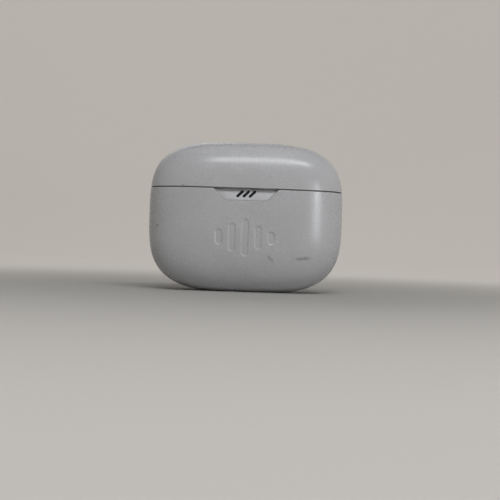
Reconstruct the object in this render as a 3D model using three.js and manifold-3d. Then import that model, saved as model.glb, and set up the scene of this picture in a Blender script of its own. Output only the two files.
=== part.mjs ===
// Charging case for a pair of stem-style wireless earbuds: a pebble-shaped two-part shell with a rear
// hinge, a cradle with two earbud pockets, and the battery, boards and sprung contacts beneath it.
//
// Millimetres. +Z is up, the front faces -Y, and the origin is the centre of the flat foot.

import * as THREE from "three";
import { mergeVertices } from "three/addons/utils/BufferGeometryUtils.js";
import Module from "manifold-3d";

const wasm = await Module();
wasm.setup();

// ---------------------------------------------------------------- driving dimensions

// The pebble: its overall size, the height of its widest section, and the roundness of its outlines.
// An exponent of 2 is an ellipse, and a higher one is closer to a box.
const WIDTH = 65;
const DEPTH = 31;
const HEIGHT = 50;
const EQUATOR = 25;
const FOOT_CUT = 0.4; // depth of the slice that flattens the bottom into a foot
const PLAN_POWER = 3.2;
const TOP_POWER = 3.5;
const BOTTOM_POWER = 3.3;
const PEBBLE_AROUND = 40;
const PEBBLE_ROWS = 18;

// Shells and the seam between them.
const WALL = 1.6;
const SEAM = 34;
const SEAM_GAP = 0.3;
const FIT = 0.3; // gap between a moulding and the shell that it drops into

// Hinge: a barrel along X at the rear of the seam, flush with the shell's back.
const HINGE_Y = 14.2;
const BARREL_RADIUS = 2.05;
const BARREL_RELIEF = 2.35;
const BRACKET_HALF = 8;
const KNUCKLE_START = BRACKET_HALF + FIT;
const KNUCKLE_END = 21;
const RELIEF_HALF = KNUCKLE_END + FIT;
const PIN_RADIUS = 0.5;
const PIN_HALF = 12.4;
const PIN_BORE = 0.65;

// Cradle.
const DECK_TOP = 33.3;
const DECK_THICK = 1.7;
const LIP_TOP = 34.9;
const LIP_OUTER = 2.6; // inset of the lip's outer face from the outside of the pebble
const LIP_INNER = 3.8;
const POCKET_WALL = 1.2;
const POCKET = { x: 14.6, y: 0.5, z: 34.5, halfX: 10.6, halfY: 10.0, deep: 10.5, power: 2.3 };
const STEM = { x: 20.5, y: 1.5, wide: 8.2, long: 8.0, corner: 3.2, floor: 11 };

// Lid liner.
const LINER_BOTTOM = 35.3;
const LINER_THICK = 1.2;
const DOME = { halfX: 10.9, halfY: 10.3, high: 12.1, wall: 0.9 };

// Thumb scoop and its three slanted indicator windows.
const SCOOP = { topHalf: 10.7, bottomHalf: 7.0, bottom: 30.1, recess: 1.8, back: -12.5 };
const WINDOW = { count: 3, pitch: 2.03, length: 3.0, width: 0.7, z: 32.2, slant: Math.PI / 4 };
const WINDOW_GAP = 0.1;

// The shallow mark on the front: a row of upright bars with round ends, like a sound meter.
const MARK = { heights: [5, 9, 12, 7.5, 4], pitch: 4.3, width: 2.2, z: 18, depth: 0.25 };

// Electronics.
const BOARD_BOTTOM = 6.6;
const BOARD_THICK = 1.0;
const BOARD_TOP = BOARD_BOTTOM + BOARD_THICK;
const BOARD_INSET = 2.4;
const ON_BOARD = BOARD_TOP + 0.1; // underside of a soldered piece
const USB = { wide: 8.94, high: 3.2, z: ON_BOARD + 1.6, back: 13.7, long: 7.3, sheet: 0.3 };
const BATTERY = { wide: 28, long: 19.6, high: 7.8, bottom: 14.4, corner: 2.5 };
const CONTACT = { spacing: 3.2, plunger: 0.4, bore: 0.5, barrel: 0.75, proud: 1.0 };
const BLOCK = { wide: 3.6, long: 7.2, high: 2.0 };
const BOARD_SCREWS = [
  { name: "board_screw_front_left", x: -20.5, y: -5.2 },
  { name: "board_screw_front_right", x: 20.5, y: -5.2 },
  { name: "board_screw_rear_left", x: -16.2, y: 7.8 },
  { name: "board_screw_rear_right", x: 16.2, y: 7.8 },
];
const SCREW = { shank: 0.6, head: 1.2, headHigh: 0.7, long: 4.0, socket: 0.45 };
const BOSS_RADIUS = 1.8;
const BOSS_TOP = 26;

const SIDES = [
  { side: "left", sign: -1 },
  { side: "right", sign: 1 },
];
const FAR = 100; // larger than the whole case, for cutting blocks

// ---------------------------------------------------------------- finishes

const finish = (color, roughness, metalness = 0) =>
  new THREE.MeshStandardMaterial({ color, roughness, metalness });

const SHELL_PLASTIC = finish(0xbabbbe, 0.42);
const CRADLE_PLASTIC = finish(0xc6c7c9, 0.3);
const SMOKED_LENS = finish(0x0b0b0d, 0.12);
const STEEL = finish(0xb8babd, 0.3, 1);
const BLACK_STEEL = finish(0x2c2c2e, 0.45, 1);
const NICKEL = finish(0xc9c7c0, 0.22, 1);
const GOLD = finish(0xd9ab4e, 0.25, 1);
const BOARD_MASK = finish(0x14402a, 0.4);
const RIBBON = finish(0xb0702a, 0.5);
const BLACK_PLASTIC = finish(0x161617, 0.5);
const LED_BODY = finish(0xe9e4c8, 0.35);
const CELL_FOIL = finish(0xa9acb0, 0.35, 1);
const FOAM_TAPE = finish(0x1b1b1c, 0.9);
const RED_SLEEVE = finish(0xa3161a, 0.5);
const BLACK_SLEEVE = finish(0x131314, 0.5);

// ---------------------------------------------------------------- solids and shapes

// A closed three.js geometry as a manifold-3d solid.
function solid(geometry) {
  const bare = geometry.index ? geometry.toNonIndexed() : geometry.clone();
  for (const name of Object.keys(bare.attributes)) if (name !== "position") bare.deleteAttribute(name);
  const merged = mergeVertices(bare, 1e-4);
  return new wasm.Manifold(
    new wasm.Mesh({
      numProp: 3,
      vertProperties: merged.attributes.position.array,
      triVerts: new Uint32Array(merged.index.array),
    }),
  );
}

// A manifold-3d solid as a three.js geometry.
function geometryOf(made) {
  const mesh = made.getMesh();
  const positions = new Float32Array(mesh.numVert * 3);
  for (let i = 0; i < mesh.numVert; i++)
    positions.set(mesh.vertProperties.subarray(i * mesh.numProp, i * mesh.numProp + 3), i * 3);
  const geometry = new THREE.BufferGeometry();
  geometry.setAttribute("position", new THREE.BufferAttribute(positions, 3));
  geometry.setIndex(new THREE.BufferAttribute(mesh.triVerts, 1));
  geometry.computeVertexNormals();
  return geometry;
}

const join = (first, ...rest) => rest.reduce((all, next) => all.add(next), first);
const cut = (first, ...rest) => rest.reduce((left, next) => left.subtract(next), first);

// A power that keeps the sign of its base.
const signed = (base, power) => Math.sign(base) * Math.abs(base) ** power;

// A superellipsoid: a sphere whose plan and whose upright outlines are superellipses.
function roundForm({ halfX, halfY, up, down, plan, powerUp, powerDown, around, rows }) {
  const sphere = new THREE.SphereGeometry(1, around, rows).rotateX(Math.PI / 2);
  const at = sphere.attributes.position;
  for (let i = 0; i < at.count; i++) {
    const rise = at.getZ(i);
    const spread = Math.hypot(at.getX(i), at.getY(i));
    const power = rise < 0 ? powerDown : powerUp;
    const reach = spread ** (2 / power);
    const cosine = spread > 1e-6 ? at.getX(i) / spread : 0;
    const sine = spread > 1e-6 ? at.getY(i) / spread : 0;
    at.setXYZ(
      i,
      halfX * reach * signed(Math.abs(cosine) < 1e-6 ? 0 : cosine, 2 / plan),
      halfY * reach * signed(Math.abs(sine) < 1e-6 ? 0 : sine, 2 / plan),
      (rise < 0 ? down : up) * signed(Math.abs(rise) < 1e-6 ? 0 : rise, 2 / power),
    );
  }
  return sphere;
}

// The case's outer form, shrunk all over by an inset.
function pebble(inset = 0) {
  return solid(
    roundForm({
      halfX: WIDTH / 2 - inset,
      halfY: DEPTH / 2 - inset,
      up: HEIGHT - EQUATOR - inset,
      down: EQUATOR + FOOT_CUT - inset,
      plan: PLAN_POWER,
      powerUp: TOP_POWER,
      powerDown: BOTTOM_POWER,
      around: PEBBLE_AROUND,
      rows: PEBBLE_ROWS,
    }).translate(0, 0, EQUATOR),
  );
}

// A box from its lowest to its highest corner.
function box([x0, y0, z0], [x1, y1, z1]) {
  return solid(
    new THREE.BoxGeometry(x1 - x0, y1 - y0, z1 - z0).translate((x0 + x1) / 2, (y0 + y1) / 2, (z0 + z1) / 2),
  );
}

const between = (z0, z1) => box([-FAR, -FAR, z0], [FAR, FAR, z1]);

function rodX(radius, x0, x1, y, z, sides = 20) {
  return solid(
    new THREE.CylinderGeometry(radius, radius, x1 - x0, sides).rotateZ(Math.PI / 2).translate((x0 + x1) / 2, y, z),
  );
}

function rodY(radius, y0, y1, x, z, sides = 10) {
  return solid(new THREE.CylinderGeometry(radius, radius, y1 - y0, sides).translate(x, (y0 + y1) / 2, z));
}

function rodZ(radius, z0, z1, x = 0, y = 0, sides = 10) {
  return solid(
    new THREE.CylinderGeometry(radius, radius, z1 - z0, sides).rotateX(Math.PI / 2).translate(x, y, (z0 + z1) / 2),
  );
}

function roundedRectangle(wide, high, corner) {
  const x = wide / 2;
  const y = high / 2;
  const shape = new THREE.Shape();
  shape.moveTo(-x + corner, -y);
  shape.lineTo(x - corner, -y);
  shape.absarc(x - corner, -y + corner, corner, -Math.PI / 2, 0);
  shape.lineTo(x, y - corner);
  shape.absarc(x - corner, y - corner, corner, 0, Math.PI / 2);
  shape.lineTo(-x + corner, y);
  shape.absarc(-x + corner, y - corner, corner, Math.PI / 2, Math.PI);
  shape.lineTo(-x, -y + corner);
  shape.absarc(-x + corner, -y + corner, corner, Math.PI, Math.PI * 1.5);
  return shape;
}

// A plan outline raised from z0 to z1.
function prismZ(shape, z0, z1, x = 0, y = 0, curveSegments = 4) {
  return solid(
    new THREE.ExtrudeGeometry(shape, { depth: z1 - z0, bevelEnabled: false, curveSegments }).translate(x, y, z0),
  );
}

// A front outline, drawn in X and Z, carried from y0 back to y1.
function prismY(shape, y0, y1, curveSegments = 4) {
  return solid(
    new THREE.ExtrudeGeometry(shape, { depth: y1 - y0, bevelEnabled: false, curveSegments })
      .rotateX(Math.PI / 2)
      .translate(0, y1, 0),
  );
}

// A side outline, drawn in Y and Z, carried from x0 to x1.
function prismX(shape, x0, x1) {
  const turn = new THREE.Matrix4().makeBasis(
    new THREE.Vector3(0, 1, 0),
    new THREE.Vector3(0, 0, 1),
    new THREE.Vector3(1, 0, 0),
  );
  return solid(
    new THREE.ExtrudeGeometry(shape, { depth: x1 - x0, bevelEnabled: false }).applyMatrix4(turn).translate(x0, 0, 0),
  );
}

function outline(points) {
  return new THREE.Shape(points.map(([a, b]) => new THREE.Vector2(a, b)));
}

function part(name, geometry, material, position = [0, 0, 0]) {
  const mesh = new THREE.Mesh(geometry, material);
  mesh.name = name;
  mesh.position.set(...position);
  return mesh;
}

// ---------------------------------------------------------------- shared cutters

const outside = pebble();
const hollow = pebble(WALL);
const fitted = pebble(WALL + FIT);

const hingeRelief = rodX(BARREL_RELIEF, -RELIEF_HALF, RELIEF_HALF, HINGE_Y, SEAM);

// The scoop's trapezium, seen from the front, grown outwards by a margin.
function scoopFront(margin) {
  const top = SEAM + 1;
  const lean = (SCOOP.topHalf - SCOOP.bottomHalf) / (SEAM - SCOOP.bottom);
  const bottom = SCOOP.bottom - margin;
  const halfTop = SCOOP.topHalf + lean * (top - SEAM) + margin;
  const halfBottom = SCOOP.bottomHalf + margin * 0.4;
  return outline([
    [-halfBottom, bottom],
    [halfBottom, bottom],
    [halfTop, top],
    [-halfTop, top],
  ]);
}

// What lies in front of the scoop's sloping floor.
function aheadOfScoop(offset = 0) {
  const front = -DEPTH / 2;
  const bottom = SCOOP.bottom - 0.1;
  const deepest = front + SCOOP.recess;
  return prismX(
    outline([
      [front - 5, bottom - 5 * ((SEAM - bottom) / SCOOP.recess)],
      [deepest + SCOOP.recess, SEAM + (SEAM - bottom)],
      [front - 5, SEAM + (SEAM - bottom)],
    ]),
    -FAR,
    FAR,
  ).translate([0, -offset, 0]);
}

// One slanted window, as a bar with round ends in X and Z.
function windowOutline(index, margin) {
  const radius = WINDOW.width / 2 + margin;
  const reach = WINDOW.length / 2 - WINDOW.width / 2;
  const shape = new THREE.Shape();
  const centreX = (index - (WINDOW.count - 1) / 2) * WINDOW.pitch;
  const alongX = Math.cos(WINDOW.slant) * reach;
  const alongZ = Math.sin(WINDOW.slant) * reach;
  shape.absarc(centreX + alongX, WINDOW.z + alongZ, radius, WINDOW.slant - Math.PI / 2, WINDOW.slant + Math.PI / 2);
  shape.absarc(centreX - alongX, WINDOW.z - alongZ, radius, WINDOW.slant + Math.PI / 2, WINDOW.slant + Math.PI * 1.5);
  return shape;
}

const windowBars = (y0, y1, margin) =>
  join(...Array.from({ length: WINDOW.count }, (_, i) => prismY(windowOutline(i, margin), y0, y1, 4)));

// ---------------------------------------------------------------- shells

function markRecess() {
  const bars = MARK.heights.map((high, i) =>
    prismY(roundedRectangle(MARK.width, high, MARK.width / 2 - 0.01), -FAR, 0, 3).translate([
      (i - (MARK.heights.length - 1) / 2) * MARK.pitch,
      0,
      MARK.z,
    ]),
  );
  return cut(join(...bars), pebble(MARK.depth));
}

function baseShell() {
  const usbSlot = prismY(roundedRectangle(USB.wide + 0.5, USB.high + 0.5, 1.8), 0, FAR).translate([0, 0, USB.z]);
  return cut(
    outside.intersect(between(0, SEAM - SEAM_GAP / 2)),
    hollow,
    hingeRelief,
    prismY(scoopFront(0.1), -FAR, SCOOP.back - 0.2),
    usbSlot,
    markRecess(),
  );
}

const HINGE_SCREW = { x: 6, z: 39, y: 11.05 };

function lidShell() {
  const bosses = SIDES.map(({ sign }) =>
    box(
      [sign * HINGE_SCREW.x - 1.8, 12.75, HINGE_SCREW.z - 1.8],
      [sign * HINGE_SCREW.x + 1.8, DEPTH / 2, HINGE_SCREW.z + 1.8],
    ).intersect(pebble(0.8)),
  );
  const screwHoles = SIDES.map(({ sign }) => rodY(SCREW.shank + 0.1, 12, 14.3, sign * HINGE_SCREW.x, HINGE_SCREW.z));
  const skin = cut(outside.intersect(between(SEAM + SEAM_GAP / 2, HEIGHT + 1)), hollow);
  return cut(join(skin, ...bosses), hingeRelief, ...screwHoles);
}

// ---------------------------------------------------------------- cradle and liner

// One pocket's rounded head recess, grown outwards by a wall.
function headForm(sign, grow, deep = POCKET.deep) {
  return solid(
    roundForm({
      halfX: POCKET.halfX + grow,
      halfY: POCKET.halfY + grow,
      up: deep + grow,
      down: deep + grow,
      plan: POCKET.power,
      powerUp: POCKET.power,
      powerDown: POCKET.power,
      around: 20,
      rows: 10,
    }).translate(sign * POCKET.x, POCKET.y, POCKET.z),
  );
}

function stemForm(sign, grow) {
  const shape = roundedRectangle(STEM.wide + grow * 2, STEM.long + grow * 2, STEM.corner + grow);
  return prismZ(shape, STEM.floor - grow, POCKET.z, sign * STEM.x, STEM.y);
}

function contactHoles(radius, z0, z1) {
  return SIDES.flatMap(({ sign }) =>
    [-1, 1].map((end) => rodZ(radius, z0, z1, sign * STEM.x, STEM.y + (end * CONTACT.spacing) / 2)),
  );
}

function earbudTray() {
  const deck = fitted.intersect(between(DECK_TOP - DECK_THICK, DECK_TOP));
  const lip = cut(
    pebble(LIP_OUTER).intersect(between(DECK_TOP - 0.5, LIP_TOP)),
    pebble(LIP_INNER),
    box([-KNUCKLE_START, 8, DECK_TOP], [KNUCKLE_START, FAR, LIP_TOP + 1]),
  );
  // A thin roof over the indicator board, between the pockets and the lip.
  const roof = pebble(LIP_OUTER).intersect(box([-7.4, -FAR, DECK_TOP - 0.1], [7.4, -9.2, 34]));
  const wells = SIDES.flatMap(({ sign }) => [headForm(sign, POCKET_WALL), stemForm(sign, POCKET_WALL)]);
  const bosses = BOARD_SCREWS.map(({ x, y }) => rodZ(BOSS_RADIUS, BOARD_TOP + 0.1, BOSS_TOP, x, y));
  const knuckles = SIDES.map(({ sign }) =>
    rodX(
      BARREL_RADIUS,
      Math.min(sign * KNUCKLE_START, sign * KNUCKLE_END),
      Math.max(sign * KNUCKLE_START, sign * KNUCKLE_END),
      HINGE_Y,
      SEAM,
    ).intersect(outside),
  );
  const belowDeck = join(...wells, ...bosses).intersect(between(0, DECK_TOP - 0.1));
  const indicatorRoom = box([-6.2, -FAR, 26], [6.2, -9.4, DECK_TOP]);
  const body = cut(
    join(deck, lip, belowDeck),
    rodX(BARREL_RELIEF, -KNUCKLE_START, KNUCKLE_START, HINGE_Y, SEAM),
    indicatorRoom,
  );
  return cut(
    join(body, roof, ...knuckles),
    prismY(scoopFront(0.3), -FAR, SCOOP.back + 0.3).intersect(between(0, SEAM)),
    ...SIDES.flatMap(({ sign }) => [headForm(sign, 0), stemForm(sign, 0)]),
    ...contactHoles(CONTACT.plunger + 0.15, STEM.floor - 3, STEM.floor + 1),
    ...BOARD_SCREWS.map(({ x, y }) => rodZ(SCREW.shank + 0.1, BOARD_TOP, BOARD_TOP + SCREW.long, x, y)),
    rodX(PIN_BORE, -PIN_HALF - 0.3, PIN_HALF + 0.3, HINGE_Y, SEAM),
  );
}

function lidLiner() {
  const plate = fitted.intersect(between(LINER_BOTTOM, LINER_BOTTOM + LINER_THICK));
  const dome = (sign, grow) =>
    solid(
      roundForm({
        halfX: DOME.halfX + grow,
        halfY: DOME.halfY + grow,
        up: DOME.high + grow,
        down: DOME.high + grow,
        plan: POCKET.power,
        powerUp: POCKET.power,
        powerDown: POCKET.power,
        around: 20,
        rows: 10,
      }).translate(sign * POCKET.x, POCKET.y, POCKET.z),
    );
  const domes = SIDES.map(({ sign }) => dome(sign, DOME.wall).intersect(between(LINER_BOTTOM, HEIGHT)));
  return cut(
    join(plate, ...domes),
    ...SIDES.map(({ sign }) => dome(sign, 0)),
    hingeRelief,
    box([-BRACKET_HALF - 0.8, 11.3, SEAM], [BRACKET_HALF + 0.8, FAR, LINER_BOTTOM + 3]),
  );
}

function hingeBracket() {
  const barrel = rodX(BARREL_RADIUS, -BRACKET_HALF, BRACKET_HALF, HINGE_Y, SEAM).intersect(outside);
  const web = box([-BRACKET_HALF, 11.6, SEAM + 0.2], [BRACKET_HALF, 12.6, 41]);
  return cut(
    join(barrel, web),
    rodX(PIN_BORE, -BRACKET_HALF - 1, BRACKET_HALF + 1, HINGE_Y, SEAM),
    ...SIDES.map(({ sign }) => rodY(SCREW.shank + 0.1, 11, 13, sign * HINGE_SCREW.x, HINGE_SCREW.z)),
  );
}

// ---------------------------------------------------------------- indicator

function indicatorBezel() {
  const block = prismY(scoopFront(0), -FAR, SCOOP.back).intersect(between(0, SEAM - SEAM_GAP));
  return cut(block.intersect(outside), aheadOfScoop(), windowBars(-FAR, 0, WINDOW_GAP));
}

function indicatorLens() {
  const block = box([-4.6, SCOOP.back + 0.1, 30.3], [4.6, SCOOP.back + 0.9, 33.1]);
  return join(block, cut(windowBars(-DEPTH / 2, SCOOP.back + 0.2, 0), aheadOfScoop(0.05)));
}

// A flat ribbon from the main board up the front of the battery to the indicator board.
function ledRibbon() {
  const thick = 0.25;
  const run = [
    [-8.2, BOARD_TOP + 0.1],
    [-10.0, BOARD_TOP + 0.3],
    [-11.2, BOARD_TOP + 2],
    [-11.6, 14],
    [-11.6, 24],
    [-10.9, 26.5],
  ];
  const back = run.map(([y, z]) => [y + thick, z + thick]).reverse();
  return prismX(outline([...run, ...back].reverse()), -2.2, 2.2);
}

// ---------------------------------------------------------------- electronics

function mainBoard() {
  const plate = pebble(BOARD_INSET).intersect(between(BOARD_BOTTOM, BOARD_TOP));
  return cut(plate, ...BOARD_SCREWS.map(({ x, y }) => rodZ(SCREW.shank + 0.15, 0, 20, x, y)));
}

function usbShell() {
  const tube = (margin) => roundedRectangle(USB.wide - margin * 2, USB.high - margin * 2, 1.5 - margin);
  const front = USB.back - USB.long;
  return cut(
    prismY(tube(0), front, USB.back, 4).translate([0, 0, USB.z]),
    prismY(tube(USB.sheet), front + 0.6, USB.back + 1, 4).translate([0, 0, USB.z]),
  );
}

function usbTongue() {
  const front = USB.back - USB.long + 0.7;
  return join(
    box([-3.3, front, USB.z - 0.35], [3.3, USB.back - 0.7, USB.z + 0.35]),
    box([-3.7, front, USB.z - 0.9], [3.7, front + 1.4, USB.z + 0.9]),
  );
}

function contactBlock() {
  const body = prismZ(roundedRectangle(BLOCK.wide, BLOCK.long, 0.8), 0, BLOCK.high, 0, 0, 3);
  return cut(
    body,
    ...[-1, 1].map((end) => rodZ(CONTACT.barrel + 0.1, 0.3, BLOCK.high + 1, 0, (end * CONTACT.spacing) / 2)),
  );
}

function pinBarrel() {
  return cut(rodZ(CONTACT.barrel, 0, 1.5), rodZ(CONTACT.bore, 0.2, 2));
}

// A round-nosed plunger with its tip at the top of the profile.
function plunger(long) {
  const profile = [new THREE.Vector2(0, 0), new THREE.Vector2(CONTACT.plunger, 0)];
  const nose = CONTACT.plunger;
  for (let i = 0; i <= 3; i++) {
    const angle = (i / 3) * (Math.PI / 2);
    profile.push(new THREE.Vector2(nose * Math.cos(angle), long - nose + nose * Math.sin(angle)));
  }
  return new THREE.LatheGeometry(profile, 10).rotateX(Math.PI / 2);
}

// A machine screw along +Z with its head below the origin and a cross of slots in the head.
function screw(long) {
  const head = rodZ(SCREW.head, -SCREW.headHigh, 0);
  const shank = rodZ(SCREW.shank, -0.1, long);
  const slot = (wide, deep) =>
    box([-wide / 2, -deep / 2, -SCREW.headHigh - 1], [wide / 2, deep / 2, -SCREW.headHigh + 0.35]);
  return cut(join(head, shank), slot(1.4, 0.32), slot(0.32, 1.4));
}

function batteryCell() {
  return prismZ(
    roundedRectangle(BATTERY.wide, BATTERY.long, BATTERY.corner),
    BATTERY.bottom,
    BATTERY.bottom + BATTERY.high,
  );
}

// A lead from the front of the cell down to the socket on the board.
function batteryLead(x) {
  const route = new THREE.CatmullRomCurve3([
    new THREE.Vector3(x, -BATTERY.long / 2 - 0.2, BATTERY.bottom + 2.2),
    new THREE.Vector3(x, -BATTERY.long / 2 - 1.0, BATTERY.bottom + 1.4),
    new THREE.Vector3(x, -BATTERY.long / 2 - 1.0, BATTERY.bottom - 1.6),
    new THREE.Vector3(x, -BATTERY.long / 2 + 0.6, BATTERY.bottom - 3.6),
    new THREE.Vector3(x, -BATTERY.long / 2 + 1.9, BATTERY.bottom - 5.4),
    new THREE.Vector3(x, -BATTERY.long / 2 + 3.1, ON_BOARD + 1.2),
  ]);
  const section = new THREE.Shape().absarc(0, 0, 0.45, 0, Math.PI * 2);
  return new THREE.ExtrudeGeometry(section, { steps: 8, curveSegments: 4, extrudePath: route, bevelEnabled: false });
}

// ---------------------------------------------------------------- assembly

function lidGroup() {
  const group = new THREE.Group();
  group.add(
    part("lid_shell", geometryOf(lidShell()), SHELL_PLASTIC),
    part("lid_liner", geometryOf(lidLiner()), CRADLE_PLASTIC),
    part("hinge_bracket", geometryOf(hingeBracket()), SHELL_PLASTIC),
  );
  const hingeScrew = geometryOf(screw(2.6)).rotateX(-Math.PI / 2);
  for (const { side, sign } of SIDES) {
    group.add(
      part(`hinge_screw_${side}`, hingeScrew, BLACK_STEEL, [
        sign * HINGE_SCREW.x,
        HINGE_SCREW.y + 0.45,
        HINGE_SCREW.z,
      ]),
      part(`lid_magnet_${side}`, new THREE.BoxGeometry(5, 1.2, 2.2), NICKEL, [sign * 13.5, -11.75, 37.9]),
    );
  }
  return group;
}

function frontGroup() {
  const group = new THREE.Group();
  group.add(
    part("indicator_bezel", geometryOf(indicatorBezel()), CRADLE_PLASTIC),
    part("indicator_lens", geometryOf(indicatorLens()), SMOKED_LENS),
    part("indicator_board", new THREE.BoxGeometry(11, 0.6, 6.2), BOARD_MASK, [0, -10.1, 29.9]),
    part("lid_sensor", new THREE.BoxGeometry(1.6, 0.8, 2.0), BLACK_PLASTIC, [4.4, -10.9, 28.6]),
    part("indicator_ribbon", geometryOf(ledRibbon()), RIBBON),
  );
  for (let i = 0; i < WINDOW.count; i++) {
    const x = (i - (WINDOW.count - 1) / 2) * WINDOW.pitch;
    group.add(part(`indicator_led_${i + 1}`, new THREE.BoxGeometry(0.9, 0.8, 1.6), LED_BODY, [x, -10.9, WINDOW.z - 0.2]));
  }
  return group;
}

function boardGroup() {
  const group = new THREE.Group();
  group.add(
    part("main_board", geometryOf(mainBoard()), BOARD_MASK),
    part("usb_shell", geometryOf(usbShell()), STEEL),
    part("usb_tongue", geometryOf(usbTongue()), BLACK_PLASTIC),
    part("charger_chip", new THREE.BoxGeometry(4, 4, 0.9), BLACK_PLASTIC, [8, 2.5, ON_BOARD + 0.45]),
    part("controller_chip", new THREE.BoxGeometry(5, 5, 0.9), BLACK_PLASTIC, [-9.5, 3, ON_BOARD + 0.45]),
    part("power_inductor", new THREE.BoxGeometry(3.2, 3.2, 1.8), BLACK_STEEL, [9.5, -5, ON_BOARD + 0.9]),
    part("battery_socket", new THREE.BoxGeometry(5.4, 3.4, 2.4), LED_BODY, [-9, -4.8, ON_BOARD + 1.2]),
  );
  const boardScrew = geometryOf(screw(SCREW.long));
  for (const { name, x, y } of BOARD_SCREWS)
    group.add(part(name, boardScrew, BLACK_STEEL, [x, y, BOARD_BOTTOM - 0.1]));
  return group;
}

function contactGroup() {
  const group = new THREE.Group();
  const block = geometryOf(contactBlock());
  const barrel = geometryOf(pinBarrel());
  const barrelBottom = ON_BOARD + 0.4;
  const plungerBottom = barrelBottom + 1.1;
  const pin = plunger(STEM.floor + CONTACT.proud - plungerBottom);
  for (const { side, sign } of SIDES) {
    const x = sign * STEM.x;
    group.add(part(`contact_block_${side}`, block, BLACK_PLASTIC, [x, STEM.y, ON_BOARD]));
    for (const [place, end] of [["front", -1], ["rear", 1]]) {
      const y = STEM.y + (end * CONTACT.spacing) / 2;
      group.add(
        part(`contact_barrel_${side}_${place}`, barrel, GOLD, [x, y, barrelBottom]),
        part(`contact_pin_${side}_${place}`, pin, GOLD, [x, y, plungerBottom]),
      );
    }
  }
  return group;
}

function powerGroup() {
  const group = new THREE.Group();
  const top = BATTERY.bottom + BATTERY.high;
  group.add(
    part("battery_cell", geometryOf(batteryCell()), CELL_FOIL),
    part("battery_tape", new THREE.BoxGeometry(24, 14, 0.4), FOAM_TAPE, [0, 0, top + 0.3]),
    part("battery_lead_red", batteryLead(-8), RED_SLEEVE),
    part("battery_lead_black", batteryLead(-10), BLACK_SLEEVE),
  );
  for (const { side, sign } of SIDES)
    group.add(
      part(`closing_magnet_${side}`, new THREE.BoxGeometry(5, 1.9, 3.4), NICKEL, [sign * 13.5, -12.1, 29.6]),
      part(`earbud_magnet_${side}`, new THREE.BoxGeometry(4, 1.8, 6), NICKEL, [sign * STEM.x, 7.8, 17]),
    );
  return group;
}

const earbudCase = new THREE.Group();
earbudCase.add(
  part("base_shell", geometryOf(baseShell()), SHELL_PLASTIC),
  part("earbud_tray", geometryOf(earbudTray()), CRADLE_PLASTIC),
  part("hinge_pin", geometryOf(rodX(PIN_RADIUS, -PIN_HALF, PIN_HALF, HINGE_Y, SEAM)), STEEL),
  lidGroup(),
  frontGroup(),
  boardGroup(),
  contactGroup(),
  powerGroup(),
);

export default earbudCase;
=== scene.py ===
"""Finished surfaces, stage and camera for a wireless earbuds case.

The CAD frame gives the bodies, and every visible piece is built round it in the same metres: +Z up, the
front facing -Y, and the origin at the middle of the flat foot. Meshes are worked out in millimetres and
scaled once, when a piece is finished.
"""

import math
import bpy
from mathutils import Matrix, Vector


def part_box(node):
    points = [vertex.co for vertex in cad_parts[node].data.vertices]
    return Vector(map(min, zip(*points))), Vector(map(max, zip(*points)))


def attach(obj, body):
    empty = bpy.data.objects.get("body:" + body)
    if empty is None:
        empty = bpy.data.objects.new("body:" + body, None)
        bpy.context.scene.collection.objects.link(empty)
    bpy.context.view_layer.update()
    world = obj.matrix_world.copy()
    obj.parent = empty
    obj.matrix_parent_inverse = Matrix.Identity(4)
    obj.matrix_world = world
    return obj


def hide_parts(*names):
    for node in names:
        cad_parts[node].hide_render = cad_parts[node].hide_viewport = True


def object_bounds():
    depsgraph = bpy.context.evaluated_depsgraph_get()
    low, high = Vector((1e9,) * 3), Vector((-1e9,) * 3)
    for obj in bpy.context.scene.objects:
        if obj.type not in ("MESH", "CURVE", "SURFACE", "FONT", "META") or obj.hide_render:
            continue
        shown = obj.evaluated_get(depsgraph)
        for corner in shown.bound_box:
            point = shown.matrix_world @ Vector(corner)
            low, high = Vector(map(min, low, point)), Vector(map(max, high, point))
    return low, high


bl_info = {
    "name": "Wireless Earbuds Case",
    "version": (1, 0, 0),
    "blender": (4, 5, 0),
    "location": "3D View > Sidebar > Earbuds Case",
    "description": "Builds a pebble-shaped wireless earbuds case and its studio stage",
    "category": "Add Mesh",
}

import bmesh
import bpy
import numpy as np
from bpy.props import FloatProperty, FloatVectorProperty, IntProperty, PointerProperty
from mathutils import Matrix, Vector

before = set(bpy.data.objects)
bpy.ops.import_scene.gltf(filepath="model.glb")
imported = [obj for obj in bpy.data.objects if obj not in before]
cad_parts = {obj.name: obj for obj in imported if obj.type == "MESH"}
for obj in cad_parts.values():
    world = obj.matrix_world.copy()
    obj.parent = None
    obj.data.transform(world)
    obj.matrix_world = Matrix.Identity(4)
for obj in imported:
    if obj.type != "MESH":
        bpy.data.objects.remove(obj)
cad_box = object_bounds()

MM = 0.001
CASE_SIZE = [high - low for low, high in zip(*cad_box)]
SHARP_ANGLE = math.radians(34)
SIDES = ("left", "right")
ENDS = ("front", "rear")


# ---------------------------------------------------------------- sizes and colours


def length(label, what, default, low=0.0):
    return FloatProperty(name=label, description=what, default=default, min=low, unit="LENGTH", precision=5)


def colour(label, what, default):
    return FloatVectorProperty(
        name=label, description=what, default=default, size=3, min=0.0, max=1.0, subtype="COLOR"
    )


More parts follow.
